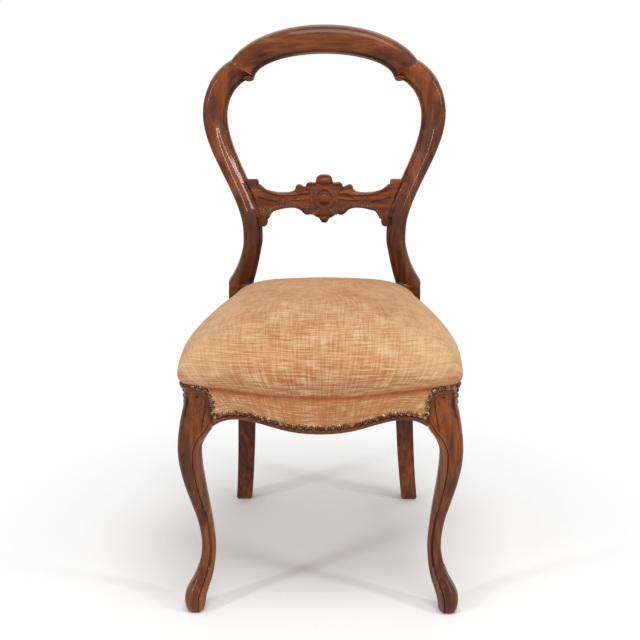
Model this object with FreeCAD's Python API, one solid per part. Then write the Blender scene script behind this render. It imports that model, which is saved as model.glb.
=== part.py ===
# Balloon back dining chair: a carved and polished wooden frame with a sprung, stuffed seat.
# Millimetres, +Z up. The chair faces -Y, and the origin is on the floor below the middle of the chair.
# While the pieces are made, y = 0 is the front face of the front legs at the knee. All of them are
# moved back together by the same amount at the end, so that the origin is in the middle.
import FreeCAD
import Part

import math
import os

V = FreeCAD.Vector

# Overall sizes
crest_top_z = 888.0
balloon_half_width = 211.8
knee_half_width = 217.5
seat_crown_z = 483.0
seat_half_width = 226.5

# Seat rails
rail_top_z = 405.0
rail_face_scale = 0.955
rail_thickness = 24.5
webbing_rebate_z = 348.0
webbing_rebate_depth = 12.0
front_rail_low_z = 325.3
front_rail_arch_z = 347.2
front_rail_arch_x = 134.0
side_rail_low_z = 336.0
rail_bead_radius = 3.8

# Seat outline in plan, at its widest
seat_centre_y = 190.0
seat_front_y = -27.8
seat_back_y = 412.0
seat_girth_z = 415.0
seat_corner_radius = 20.0
seat_front_bow = 18.8

# Front legs
front_post_width = 45.5
front_foot_half_width = 219.0
front_ankle_z = 115.0
knee_shield_z = 393.0
knee_shield_corner_radius = 21.0

# Back legs and stiles
stile_depth = 29.0
stile_front_y = 374.0
stile_base_outer_x = 168.8
stile_base_inner_x = 125.0
stile_block_bottom_z = 338.0
stile_kink_z = 448.0
waist_outer_x = 142.2
waist_outer_z = 532.0
waist_inner_x = 108.2
waist_inner_z = 536.0
widest_outer_z = 741.0
widest_inner_x = 169.3
widest_inner_z = 735.0
back_leg_width = 33.0
back_leg_depth = 30.0
back_foot_width = 28.5
back_foot_centre_x = 154.5
back_foot_rake = 79.0
back_leg_chamfer = 6.0
rake_slope = 0.155
rake_curve = 0.000105
rake_start_z = 450.0

# Crest rail
crest_arch_centre_z = 800.0
crest_arch_half_width = 171.3
crest_inner_top_z = 841.5
crest_inner_half_width = 121.0
shoulder_outer_angle = 19.2
shoulder_inner_angle = 3.0
shoulder_scroll_radius = 6.0

# Moulding worked along the front of the crest and stiles
moulding_bead = 6.0
moulding_hollow = 8.2
moulding_side = 10.0
arris_radius = 4.0

# Mid rail
mid_rail_z = 592.0
mid_rail_thickness = 18.0
mid_rail_setback = 5.0
mid_rail_plate_thickness = 21.0
mid_rail_boss_radius = 9.0
mid_rail_ring_radius = 18.5
mid_rail_panel_depth = 2.2

# Joints inside the frame
dowel_radius = 4.0
dowel_clearance = 0.15
dowel_length = 30.0
block_bottom_z = 353.5
block_top_z = 400.0
block_reach_front = 95.0
block_reach_back = 75.0
screw_radius = 2.0
screw_head_radius = 4.2
screw_length = 48.0

# Springs, webbing and stuffing
strap_width = 50.0
strap_thickness = 1.8
strap_pitch = 70.0
strap_wave = 1.05
strap_middle_z = 345.6
straps_each_way = 5
first_strap_y = 60.0
tack_radius = 0.9
tack_head_radius = 3.2
tack_head_thickness = 0.8
tack_length = 9.0
tack_edges = (5.0, 7.0, 9.0)
wire_radius = 1.9
spring_end_radius = 33.0
spring_waist_radius = 22.0
spring_turns = 5
spring_bottom_z = 348.0
spring_top_z = 424.0
hessian_thickness = 1.2
hessian_rim_inset = 4.0
hessian_rim_width = 10.0
soft_gap = 0.3

# Velvet cover and its nails
cover_thickness = 1.2
cover_gap = 0.5
cover_start_z = 320.0
nail_head_radius = 4.7
nail_head_height = 2.7
nail_shank_radius = 0.7
nail_shank_length = 7.0
nail_pitch = 10.0
nail_above_rail = 12.0
cover_below_nail = 3.5

parts = {}


def smooth_step(f):
    return f * f * (3 - 2 * f)


def mix(a, b, f):
    return a + (b - a) * f


def mirror_x(shape):
    return shape.mirror(V(0, 0, 0), V(1, 0, 0))


def spline(points):
    curve = Part.BSplineCurve()
    curve.interpolate([V(*p) for p in points])
    return curve.toShape()


def line(a, b):
    return Part.LineSegment(V(*a), V(*b)).toShape()


def arc(a, b, c):
    return Part.Arc(V(*a), V(*b), V(*c)).toShape()


def box(x0, x1, y0, y1, z0, z1):
    return Part.makeBox(x1 - x0, y1 - y0, z1 - z0, V(x0, y0, z0))


def rod(start, direction, length, radius):
    return Part.makeCylinder(radius, length, V(*start), V(*direction))


def loft(wires, ruled=False):
    solid = Part.makeLoft(wires, True, ruled, False)
    if solid.Volume < 0:
        solid.reverse()
    return solid


def group(shapes):
    return Part.makeCompound(shapes)


# Seat outline: one closed line in plan, drawn at any size about the middle of the seat.
# Scale 1 is the widest line of the cover, and the rails, stuffing and cover all follow it.
# Rounding 0 has a straight back, and rounding 1 draws the back corners in to a full curve.

def seat_outline(scale, z, rounding=0.0):
    def at(x, y):
        return (x * scale, seat_centre_y + (y - seat_centre_y) * scale, z)

    half = seat_half_width
    turn = seat_corner_radius
    front_end = (half - turn, seat_front_y + seat_front_bow)
    corner = (half - turn * (1 - math.sqrt(0.5)), seat_front_y + seat_front_bow + turn * (1 - math.sqrt(0.5)))
    side_start = (half, seat_front_y + seat_front_bow + turn)
    side_end = (stile_base_outer_x - 4.0 - 24.0 * rounding, seat_back_y - 42.0 - 24.0 * rounding)
    back_corner = (stile_base_outer_x - 10.0 - 38.0 * rounding, seat_back_y - 9.0 - 24.0 * rounding)
    back_end = (stile_base_inner_x - 42.0 * rounding, seat_back_y - 13.0 * rounding)
    reach = side_end[1] - side_start[1]
    side = [side_start]
    for along, taper in ((0.13, 0.004), (0.27, 0.045), (0.45, 0.195), (0.63, 0.41), (0.82, 0.68)):
        side.append((mix(side_start[0], side_end[0], taper), side_start[1] + reach * along))
    side.append(side_end)

    def mirrored(points):
        return [(-x, y) for x, y in reversed(points)]

    right = [at(*p) for p in side]
    left = [at(*p) for p in mirrored(side)]
    if rounding:
        back = arc(at(*back_end), at(0, seat_back_y), at(-back_end[0], back_end[1]))
    else:
        back = line(at(*back_end), at(-back_end[0], back_end[1]))
    return Part.Wire([
        arc(at(-front_end[0], front_end[1]), at(0, seat_front_y), at(*front_end)),
        arc(at(*front_end), at(*corner), right[0]),
        spline(right),
        arc(right[-1], at(*back_corner), at(*back_end)),
        back,
        arc(at(-back_end[0], back_end[1]), at(-back_corner[0], back_corner[1]), left[0]),
        spline(left),
        arc(left[-1], at(-corner[0], corner[1]), at(-front_end[0], front_end[1])),
    ])


def outline_prism(scale, z0, z1):
    return Part.Face(seat_outline(scale, z0)).extrude(V(0, 0, z1 - z0))


def inset(depth):
    """Scale of the outline that lies this far inside the rails' outer face."""
    return rail_face_scale - depth / seat_half_width


rail_inner_scale = inset(rail_thickness)
stile_space = 0.3


def stile_room(z0, z1):
    """Space at both back corners that the cover and stuffing leave for the stiles."""
    x0 = stile_base_inner_x - stile_space
    y0 = stile_front_y - stile_space
    right = box(x0, x0 + 90, y0, y0 + 90, z0, z1)
    return right.fuse(mirror_x(right))


# Lower edges of the rails

rail_end_low_z = mix(front_rail_low_z, front_rail_arch_z, 0.34)


def front_rail_edge(offset=0.0):
    """Serpentine lower edge of the front rail, seen from the front, left to right."""
    low = front_rail_low_z
    rise = front_rail_arch_z - front_rail_low_z
    arch = front_rail_arch_x
    end = knee_half_width - front_post_width
    right = [(0, low), (0.34 * arch, low + 0.17 * rise), (0.63 * arch, low + 0.62 * rise),
             (0.86 * arch, low + 0.95 * rise), (arch, low + rise), (mix(arch, end, 0.42), low + 0.88 * rise),
             (mix(arch, end, 0.76), low + 0.62 * rise), (end, rail_end_low_z)]
    points = [(-x, z) for x, z in reversed(right[1:])] + right
    return [(x, -80, z + offset) for x, z in points]


side_rail_ends = (front_post_width, stile_front_y)


def side_rail_edge(offset=0.0):
    """Lower edge of a side rail, seen from the side, front to back."""
    y0, y1 = side_rail_ends
    start = rail_end_low_z
    points = [(y0, start), (y0 + 9, mix(start, front_rail_arch_z, 0.46)), (y0 + 22, front_rail_arch_z - 2.6),
              (y0 + 38, front_rail_arch_z), (y0 + 75, front_rail_arch_z - 4), (mix(y0, y1, 0.5), side_rail_low_z),
              (mix(y0, y1, 0.78), side_rail_low_z + 4), (y1, front_rail_arch_z - 1)]
    return [(100, y, z + offset) for y, z in points]


def below_edge(points, axis):
    """Block of space under an edge line, which runs through the chair along the other axis."""
    start, end = points[0], points[-1]
    floor_z = 250.0
    wall = [spline(points), line(end, (end[0], end[1], floor_z)),
            line((end[0], end[1], floor_z), (start[0], start[1], floor_z)),
            line((start[0], start[1], floor_z), start)]
    return Part.Face(Part.Wire(wall)).extrude(axis)


def edge_height(points, place, axis_index):
    """Height of an edge line at one place along it."""
    curve = Part.BSplineCurve()
    curve.interpolate([V(*p) for p in points])
    low, high = curve.FirstParameter, curve.LastParameter
    for _ in range(40):
        middle = (low + high) / 2
        if curve.value(middle)[axis_index] < place:
            low = middle
        else:
            high = middle
    return curve.value(low).z


# The line of the rails' outer face as a row of points, used to place beads and nails

def face_line():
    wire = seat_outline(rail_face_scale, 0)
    return [p for edge in wire.OrderedEdges for p in edge.discretize(Number=120)[:-1]]


def face_point(points, x=None, y=None):
    """Point and outward direction on the right half of the face line, at one x (front) or one y (side)."""
    count = len(points)
    best = None
    for i in range(count):
        a, b = points[i], points[(i + 1) % count]
        if x is not None and min(a.y, b.y) < front_post_width and (a.x - x) * (b.x - x) <= 0 and a.x != b.x:
            f = (x - a.x) / (b.x - a.x)
        elif y is not None and min(a.x, b.x) > 0 and (a.y - y) * (b.y - y) <= 0 and a.y != b.y:
            f = (y - a.y) / (b.y - a.y)
        else:
            continue
        p = a + (b - a) * f
        along = (b - a).normalize()
        out = V(along.y, -along.x, 0)
        if out.dot(p - V(0, seat_centre_y, 0)) < 0:
            out = out * -1
        best = (p, out)
        break
    return best


def bead_along(stations):
    """Round bead through circles whose centres are given with the direction of the edge."""
    wires = []
    for centre, direction in stations:
        wires.append(Part.Wire(Part.makeCircle(rail_bead_radius, centre, direction)))
    return loft(wires)


def stations_with_direction(centres):
    result = []
    for i, centre in enumerate(centres):
        before = centres[max(i - 1, 0)]
        after = centres[min(i + 1, len(centres) - 1)]
        result.append((centre, after - before))
    return result


# Seat rails

webbing_rebate = outline_prism(inset(webbing_rebate_depth), 300, webbing_rebate_z)
rail_ring = outline_prism(rail_face_scale, 300, rail_top_z).cut(outline_prism(rail_inner_scale, 299, rail_top_z + 1))
face_points = face_line()
post_inner_x = knee_half_width - front_post_width


def make_front_rail():
    rail = rail_ring.common(box(-post_inner_x, post_inner_x, -60, 60, 300, rail_top_z))
    rail = rail.cut(below_edge(front_rail_edge(), V(0, 160, 0)))
    rail = rail.cut(webbing_rebate)
    centres = []
    steps = 16
    for i in range(steps + 1):
        x = mix(-post_inner_x, post_inner_x, i / steps)
        place = face_point(face_points, x=x)[0]
        z = edge_height(front_rail_edge(), x, 0) + rail_bead_radius
        centres.append(V(x, place.y, z))
    bead = bead_along(stations_with_direction(centres))
    bead = bead.common(box(-post_inner_x, post_inner_x, -60, 60, 300, rail_top_z))
    return rail.fuse(bead)


def make_side_rail():
    y0, y1 = side_rail_ends
    room = box(60, 300, y0, y1, 300, rail_top_z)
    rail = rail_ring.common(room)
    rail = rail.cut(below_edge(side_rail_edge(), V(200, 0, 0)))
    rail = rail.cut(webbing_rebate)
    centres = []
    steps = 14
    for i in range(steps + 1):
        y = mix(y0, y1, i / steps)
        place = face_point(face_points, y=y)[0]
        centres.append(V(place.x, y, edge_height(side_rail_edge(), y, 1) + rail_bead_radius))
    bead = bead_along(stations_with_direction(centres)).common(room)
    return rail.fuse(bead)


def make_back_rail():
    x = stile_base_inner_x
    back_face_y = seat_centre_y + (seat_back_y - seat_centre_y) * rail_face_scale
    rail = box(-x, x, back_face_y - rail_thickness, back_face_y, side_rail_low_z, rail_top_z)
    return rail.cut(webbing_rebate)


# Front legs: cabriole, with the knee, ankle and toe moving in and out along the plan diagonal

def front_leg_section(z, outer_x, width, flat):
    """Section of the right leg. flat is the share of each front face that lies before the bead."""
    x = outer_x
    y = knee_half_width - outer_x
    knee_share = min(1.0, max(0.0, (flat - 0.62) / 0.35))
    corner = mix(0.26, 0.43, knee_share) * width
    bead = 0.1 * width * min(1.0, (1 - flat) * 4)
    groove = 0.03 * width * min(1.0, (1 - flat) * 4) + 0.15
    tip = flat * width
    end = tip + bead + 0.1
    back = width

    def front(a, b):
        return (x - a, y + b, z)

    def side(a, b):
        return (x - b, y + a, z)

    # The bead runs out into the knee, so that the face is plain where the rails meet it.
    bulge = mix(-0.2, groove + 0.12, min(1.0, 1.4 * knee_share))
    shoulder = mix(0.42, 0.0, knee_share) * width + 1.2
    turn = 0.12 * width
    middle = corner * (1 - math.sqrt(0.5))
    return Part.Wire([
        arc(side(corner, 0), (x - middle, y + middle, z), front(corner, 0)),
        line(front(corner, 0), front(tip, groove)),
        arc(front(tip, groove), front(tip + bead / 2, bulge), front(end, groove + 0.35)),
        line(front(end, groove + 0.35), front(back, shoulder)),
        line(front(back, shoulder), front(back, back - turn)),
        arc(front(back, back - turn), front(back - 0.3 * turn, back - 0.3 * turn), front(back - turn, back)),
        line(side(back, back - turn), side(back, shoulder)),
        line(side(back, shoulder), side(end, groove + 0.35)),
        arc(side(end, groove + 0.35), side(tip + bead / 2, bulge), side(tip, groove)),
        line(side(tip, groove), side(corner, 0)),
    ])


def front_leg_stations():
    """Height, how far out the leg's corner stands, its width, and the share of face before the bead."""
    knee = knee_half_width
    post = front_post_width
    foot = front_foot_half_width
    ankle = front_ankle_z
    ankle_x = knee - 21.2
    ankle_w = post - 23.5

    def up(share):
        return mix(ankle, rail_top_z, share)

    return [
        (0.0, foot, 21.5, 0.62),
        (3.0, foot + 1.8, 26.0, 0.62),
        (0.1 * ankle, foot + 5.0, 31.8, 0.62),
        (0.23 * ankle, foot + 6.0, 35.0, 0.62),
        (0.34 * ankle, foot + 1.6, 34.4, 0.62),
        (0.52 * ankle, knee - 9.1, 29.2, 0.62),
        (0.74 * ankle, mix(ankle_x, knee, 0.17), ankle_w + 2.7, 0.62),
        (ankle, ankle_x, ankle_w, 0.62),
        (up(0.14), mix(ankle_x, knee, 0.23), ankle_w + 1.4, 0.62),
        (up(0.27), mix(ankle_x, knee, 0.69), ankle_w + 6.5, 0.62),
        (up(0.39), knee + 2.5, ankle_w + 11.0, 0.62),
        (up(0.51), knee + 9.1, ankle_w + 14.0, 0.64),
        (up(0.60), knee + 11.1, ankle_w + 16.3, 0.68),
        (up(0.67), knee + 10.6, post - 1.0, 0.76),
        (up(0.73), knee + 8.4, post + 5.5, 0.86),
        (up(0.79), knee + 5.2, post + 9.5, 0.94),
        (up(0.87), knee + 1.3, post + 4.0, 0.97),
        (rail_top_z, knee, post + 2.5, 0.97),
    ]


def knee_shield_room(depth_axis):
    """Space above the arched top of the knee shield, on one face of the right front leg."""
    shield_x = post_inner_x + 2.0
    corner = knee_shield_corner_radius
    start_z = front_rail_arch_z
    turn = corner * math.sqrt(0.5)
    far = knee_half_width + 30
    top = rail_top_z + 20
    points = {
        "start": (shield_x, start_z), "rise": (shield_x, knee_shield_z - corner),
        "bend": (shield_x + corner - turn, knee_shield_z - corner + turn),
        "crown": (shield_x + corner, knee_shield_z), "out": (far, knee_shield_z), "high": (far, top),
        "back": (shield_x - 40, top), "low": (shield_x - 40, start_z),
    }
    p = {name: (x, -60, z) for name, (x, z) in points.items()}
    wire = Part.Wire([
        line(p["start"], p["rise"]), arc(p["rise"], p["bend"], p["crown"]), line(p["crown"], p["out"]),
        line(p["out"], p["high"]), line(p["high"], p["back"]), line(p["back"], p["low"]),
        line(p["low"], p["start"])])
    room = Part.Face(wire).extrude(V(0, 60 + front_post_width / 2, 0))
    if depth_axis == "y":
        return room
    # The same space on the side face is this one mirrored about the leg's diagonal.
    diagonal = V(1, 1, 0).normalize()
    return room.mirror(V(knee_half_width, 0, 0), diagonal)


def above_knee_shield():
    return knee_shield_room("y").fuse(knee_shield_room("x"))


def make_front_leg():
    leg = loft([front_leg_section(*station) for station in front_leg_stations()])
    inner = box(post_inner_x - 60, post_inner_x, -60, 120, rail_end_low_z, rail_top_z + 1)
    behind = box(60, 300, front_post_width, 160, rail_end_low_z, rail_top_z + 1)
    return leg.cut(inner.fuse(behind))


# Stiles and crest: outlines of the balloon seen from the front, and the moulded section between them

def rake_y(z):
    rise = max(0.0, z - rake_start_z)
    return stile_front_y + rake_slope * rise + rake_curve * rise * rise


def rake_gradient(z):
    rise = max(0.0, z - rake_start_z)
    return rake_slope * (1 if z > rake_start_z else 0) + 2 * rake_curve * rise


def moulded_section(outer, inner, gradient=None):
    """Section of the back frame between a point on its outer edge and one on its inner edge."""
    middle_z = (outer[1] + inner[1]) / 2
    slope = rake_gradient(middle_z) if gradient is None else gradient
    width = math.hypot(outer[0] - inner[0], outer[1] - inner[1])
    ux = (inner[0] - outer[0]) / width
    uz = (inner[1] - outer[1]) / width

    def at(s, t):
        z = outer[1] + uz * s
        return (outer[0] + ux * s, rake_y(middle_z) + slope * (z - middle_z) + t, z)

    depth = stile_depth
    band = width - moulding_bead
    r = arris_radius
    turn = r * (1 - math.sqrt(0.5))
    hollow = moulding_hollow
    ogee = [(0, moulding_side), (0.032 * band, 0.42 * moulding_side), (0.14 * band, 0.1 * moulding_side),
            (0.33 * band, 0), (0.52 * band, 0.16 * hollow), (0.76 * band, 0.66 * hollow), (band, hollow)]
    return Part.Wire([
        spline([at(*p) for p in ogee]),
        arc(at(band, hollow), at(band + moulding_bead / 2, hollow - 3.0), at(width, hollow + 0.5)),
        line(at(width, hollow + 0.5), at(width, depth - r)),
        arc(at(width, depth - r), at(width - turn, depth - turn), at(width - r, depth)),
        line(at(width - r, depth), at(r, depth)),
        arc(at(r, depth), at(turn, depth - turn), at(0, depth - r)),
        line(at(0, depth - r), at(0, moulding_side)),
    ])


def on_ellipse(centre_x, centre_z, a, b, degrees):
    angle = math.radians(degrees)
    return (centre_x + a * math.cos(angle), centre_z + b * math.sin(angle))


crest_outer_rise = crest_top_z - crest_arch_centre_z
crest_inner_rise = crest_inner_top_z - crest_arch_centre_z
shoulder_outer = on_ellipse(0, crest_arch_centre_z, crest_arch_half_width, crest_outer_rise, shoulder_outer_angle)
shoulder_inner = on_ellipse(0, crest_arch_centre_z, crest_inner_half_width, crest_inner_rise, shoulder_inner_angle)


def stile_pairs():
    """Matching points on the outer and inner edges of the right stile, from its base to the shoulder."""
    pairs = []
    for h in (1.0, 0.82, 0.6, 0.35, 0.1):
        outer = (mix(waist_outer_x, stile_base_outer_x, h ** 2.05), mix(waist_outer_z, stile_kink_z, h))
        inner = (mix(waist_inner_x, stile_base_inner_x, h ** 1.5), mix(waist_inner_z, stile_kink_z, h))
        pairs.append((outer, inner))
    for f in (0.12, 0.26, 0.4, 0.54, 0.68, 0.82, 0.94):
        g = f + 0.085 * math.sin(math.pi * f)
        outer = (mix(waist_outer_x, balloon_half_width, smooth_step(f)), mix(waist_outer_z, widest_outer_z, f))
        inner = (mix(waist_inner_x, widest_inner_x, smooth_step(g)), mix(waist_inner_z, widest_inner_z, g))
        pairs.append((outer, inner))
    # The top of each edge is part of an ellipse that ends at the shoulder.
    outer_centre_x = balloon_half_width - 81.8
    outer_a = balloon_half_width - outer_centre_x
    outer_end = math.degrees(math.acos((shoulder_outer[0] - outer_centre_x) / outer_a))
    outer_b = (shoulder_outer[1] - widest_outer_z) / math.sin(math.radians(outer_end))
    inner_centre_x = widest_inner_x - 54.3
    inner_a = widest_inner_x - inner_centre_x
    inner_end = math.degrees(math.acos((shoulder_inner[0] - inner_centre_x) / inner_a))
    inner_b = (shoulder_inner[1] - widest_inner_z) / math.sin(math.radians(inner_end))
    for share in (0.1, 0.3, 0.5, 0.68, 0.84, 0.94):
        outer = on_ellipse(outer_centre_x, widest_outer_z, outer_a, outer_b, share * outer_end)
        inner = on_ellipse(inner_centre_x, widest_inner_z, inner_a, inner_b, share * inner_end)
        pairs.append((outer, inner))
    pairs.append((shoulder_outer, shoulder_inner))
    return pairs


def back_leg_section(z):
    """Section of the right back leg below the seat, raked back towards its foot."""
    f = max(0.0, (stile_block_bottom_z - z) / stile_block_bottom_z)
    width = mix(back_leg_width, back_foot_width, f)
    top_centre_x = stile_base_inner_x + 15.9
    x = mix(top_centre_x, back_foot_centre_x, f ** 2.3)
    y = stile_front_y + back_leg_depth / 2 + back_foot_rake * f ** 1.7
    half = width / 2
    deep = back_leg_depth / 2
    c = back_leg_chamfer
    r = 2.5
    corners = [(x - half, y - deep, r), (x + half, y - deep, c), (x + half, y + deep, r), (x - half, y + deep, r)]
    points = []
    for cx, cy, cut in corners:
        to_x = -1 if cx > x else 1
        to_y = -1 if cy > y else 1
        pair = [(cx + to_x * cut, cy, z), (cx, cy + to_y * cut, z)]
        if to_x * to_y < 0:
            points += pair
        else:
            points += pair[::-1]
    return Part.makePolygon([V(*p) for p in points + points[:1]])


def make_back_leg_stile():
    foot_z = 5.0
    levels = [foot_z, 40, 85, 130, 180, 235, 290, stile_block_bottom_z]
    leg = loft([back_leg_section(z) for z in levels])
    foot_top = back_leg_section(foot_z)
    foot_bottom = foot_top.copy()
    centre = foot_top.BoundBox.Center
    shrink = FreeCAD.Matrix()
    shrink.move(V(-centre.x, -centre.y, -foot_z))
    shrink.scale(0.78, 0.78, 1)
    shrink.move(V(centre.x, centre.y, 0))
    foot = loft([foot_bottom.transformGeometry(shrink), foot_top], ruled=True)
    moulding_start_z = rail_top_z + 27.0
    block = box(stile_base_inner_x, stile_base_outer_x, stile_front_y, stile_front_y + stile_depth,
                stile_block_bottom_z, moulding_start_z)
    base_pair = ((stile_base_outer_x, moulding_start_z), (stile_base_inner_x, moulding_start_z))
    pairs = stile_pairs()
    base = loft([moulded_section(*base_pair, gradient=0), moulded_section(*pairs[0], gradient=0)], ruled=True)
    upper_sections = [moulded_section(*pairs[0], gradient=0)] + [moulded_section(*p) for p in pairs[1:]]
    upper = loft(upper_sections)
    scroll = make_shoulder_scroll()
    return leg.fuse([foot, block, base, upper, scroll]).removeSplitter()


def make_shoulder_scroll():
    """Small egg-shaped scroll where the stile's inner bead ends at the shoulder."""
    x = shoulder_inner[0] + 11.5
    z = shoulder_inner[1] - 2.2
    y = rake_y(z) + moulding_hollow - 2.0
    length = stile_depth - moulding_hollow - 2.0
    barrel = rod((x, y, z), (0, 1, 0), length, shoulder_scroll_radius)
    stretch = FreeCAD.Matrix()
    stretch.move(V(-x, 0, -z))
    stretch.scale(1.5, 1, 0.9)
    stretch.rotateY(math.radians(8))
    stretch.move(V(x, 0, z))
    return barrel.transformGeometry(stretch)


def make_crest_rail():
    half = []
    for share in (0.0, 0.1, 0.24, 0.4, 0.56, 0.72, 0.86):
        outer = on_ellipse(0, crest_arch_centre_z, crest_arch_half_width, crest_outer_rise,
                           mix(shoulder_outer_angle, 90, share))
        inner = on_ellipse(0, crest_arch_centre_z, crest_inner_half_width, crest_inner_rise,
                           mix(shoulder_inner_angle, 90, share))
        half.append((outer, inner))
    top = ((0, crest_top_z), (0, crest_inner_top_z))
    left = [((-o[0], o[1]), (-i[0], i[1])) for o, i in reversed(half)]
    return loft([moulded_section(*pair) for pair in half + [top] + left])


# Mid rail: carved plate between the stiles, with its end scrolls and central boss

def mid_rail_outline():
    """Right half of the carved outline, clockwise from the top middle, as smooth runs that meet at corners."""
    return [
        [(0, 46.5), (6, 46), (11, 43.8), (13.5, 39.5), (14.6, 34.5), (16.5, 32)],
        [(16.5, 32), (22, 32.8), (28, 32.6), (30.6, 29.5), (31, 24.6)],
        [(31, 24.6), (35, 25.4), (40, 28), (45, 29.4), (49.5, 26.5), (51, 21.5), (54, 18.2)],
        [(54, 18.2), (60, 16), (70, 15.2), (82, 15.6), (94, 17.8), (104, 20.6), (113.5, 26.2)],
        [(113.5, 26.2), (115, 31), (115.3, 36), (118, 38.6)],
        [(118, 38.6), (150, 38.6)],
        [(150, 38.6), (150, -44.2)],
        [(150, -44.2), (108, -44.2)],
        [(108, -44.2), (102.5, -42.8), (99.8, -38.5), (99.6, -29), (98.2, -24.5)],
        [(98.2, -24.5), (93, -19), (84, -16), (74, -13.4), (62, -11.6), (50, -12), (43, -14.8), (38.5, -18.5)],
        [(38.5, -18.5), (35, -22), (30, -23.8), (25, -23), (21, -21.2)],
        [(21, -21.2), (17, -25.4), (12.6, -28)],
        [(12.6, -28), (8.8, -30), (6.2, -34.4), (0, -37.4)],
    ]


def mid_rail_panels():
    """The sunk panels of the right arm, the outer one next to the stile and the inner one next to the ring."""
    return [
        [(80, -1), (100, 3), (117, 8.5), (110, -9), (104, -22), (92, -10.5), (80, -1)],
        [(60, 0.5), (42, 10.5), (25, 17), (25, -13), (42, -8), (60, 0.5)],
    ]


def make_mid_rail(stiles):
    z = mid_rail_z
    front_y = rake_y(z) + mid_rail_setback
    edges = []
    for run in mid_rail_outline():
        for side in (1, -1):
            points = [(side * x, front_y, z + dz) for x, dz in run]
            edges.append(spline(points) if len(points) > 2 else line(*points))
    wire = Part.Wire(Part.__sortEdges__(edges))
    arms = Part.Face(wire).extrude(V(0, mid_rail_thickness, 0))
    for corners in mid_rail_panels():
        for side in (1, -1):
            rim = Part.makePolygon([V(side * x, front_y - 5, z + dz) for x, dz in corners])
            arms = arms.cut(Part.Face(rim).extrude(V(0, 5 + mid_rail_panel_depth, 0)))
    plate_y = rake_y(z) + mid_rail_setback - (mid_rail_plate_thickness - mid_rail_thickness)
    ring = rod((0, plate_y, z + 5), (0, 1, 0), mid_rail_plate_thickness, mid_rail_ring_radius)
    well = rod((0, plate_y - 1, z + 5), (0, 1, 0), 3.0, mid_rail_ring_radius - 4)
    boss = rod((0, plate_y - 1.5, z + 5), (0, 1, 0), 6.0, mid_rail_boss_radius)
    rail = arms.fuse(ring).cut(well).fuse(boss)
    # The rail leans with the back.
    lean = math.degrees(math.atan(rake_gradient(z)))
    rail.rotate(V(0, front_y, z), V(1, 0, 0), -lean)
    inner = [pair[1] for pair in stile_pairs()]
    frame = [V(x, 0, height) for x, height in inner]
    frame += [V(-p.x, 0, p.z) for p in reversed(frame)]
    inside = Part.Face(Part.makePolygon(frame + frame[:1])).extrude(V(0, 600, 0))
    rail = rail.common(inside)
    rail = rail.cut(stiles[0]).cut(stiles[1])
    return max(rail.Solids, key=lambda s: s.Volume)


# Corner blocks and their screws

def corner_block(corner_x, corner_y, reach, toward_y, frame):
    """Triangular block that fills the inner corner between two rails."""
    a = V(corner_x, corner_y, block_bottom_z)
    b = V(corner_x - reach, corner_y, block_bottom_z)
    c = V(corner_x, corner_y + toward_y * reach, block_bottom_z)
    block = Part.Face(Part.makePolygon([a, b, c, a])).extrude(V(0, 0, block_top_z - block_bottom_z))
    for piece in frame:
        block = block.cut(piece)
    return max(block.Solids, key=lambda s: s.Volume)


def wood_screw(start, direction, clearance=0.0):
    unit = V(*direction).normalize()
    head = Part.makeCone(screw_head_radius + clearance, screw_radius + clearance, 3.0, V(*start), unit)
    shank = Part.makeCylinder(screw_radius + clearance, screw_length + clearance, V(*start), unit)
    return head.fuse(shank)


def dowel(centre, direction, clearance=0.0):
    unit = V(*direction).normalize()
    length = dowel_length + 2 * clearance
    start = V(*centre) - unit * (length / 2)
    return Part.makeCylinder(dowel_radius + clearance, length, start, unit)


# Webbing, tacks and springs

def strap_positions_x():
    middle = (straps_each_way - 1) / 2
    return [(i - middle) * strap_pitch for i in range(straps_each_way)]


def strap_positions_y():
    return [first_strap_y + i * strap_pitch for i in range(straps_each_way)]


def woven_strap(crossings, start, end, first_over, place, along):
    """One strap that passes over and under the straps it crosses."""
    flat = strap_width / 2 + 2
    slope = 6
    path = [(start, strap_wave), (crossings[0] - flat - slope, strap_wave)]
    over = first_over
    for centre in crossings:
        height = strap_wave if over else -strap_wave
        path += [(centre - flat, height), (centre + flat, height)]
        over = not over
    path += [(crossings[-1] + flat + slope, strap_wave), (end, strap_wave)]
    half = strap_thickness / 2
    rim = [(s, strap_middle_z + h - half) for s, h in path]
    rim += [(s, strap_middle_z + h + half) for s, h in reversed(path)]
    if along == "y":
        points = [V(place - strap_width / 2, s, z) for s, z in rim]
        width = V(strap_width, 0, 0)
    else:
        points = [V(s, place - strap_width / 2, z) for s, z in rim]
        width = V(0, strap_width, 0)
    return Part.Face(Part.makePolygon(points + points[:1])).extrude(width)


def make_straps():
    xs = strap_positions_x()
    ys = strap_positions_y()
    reach = outline_prism(inset(webbing_rebate_depth) - 0.001, strap_middle_z - 10, strap_middle_z + 10)
    room = stile_room(300, 400).fuse(post_room())
    long_straps = []
    cross_straps = []
    for i, x in enumerate(xs):
        strap = woven_strap(ys, -80, seat_back_y + 60, i % 2 == 0, x, "y")
        long_straps.append(trimmed(strap, reach, room))
    for j, y in enumerate(ys):
        strap = woven_strap(xs, -260, 260, j % 2 == 1, y, "x")
        cross_straps.append(trimmed(strap, reach, room))
    return long_straps, cross_straps


def trimmed(strap, reach, room):
    piece = strap.common(reach).cut(room)
    return max(piece.Solids, key=lambda s: s.Volume)


def post_room():
    """Room around both front posts."""
    gap = 0.5
    right = box(post_inner_x - gap, post_inner_x + 80, -60, front_post_width + gap, 300, 400)
    return right.fuse(mirror_x(right))


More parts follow.
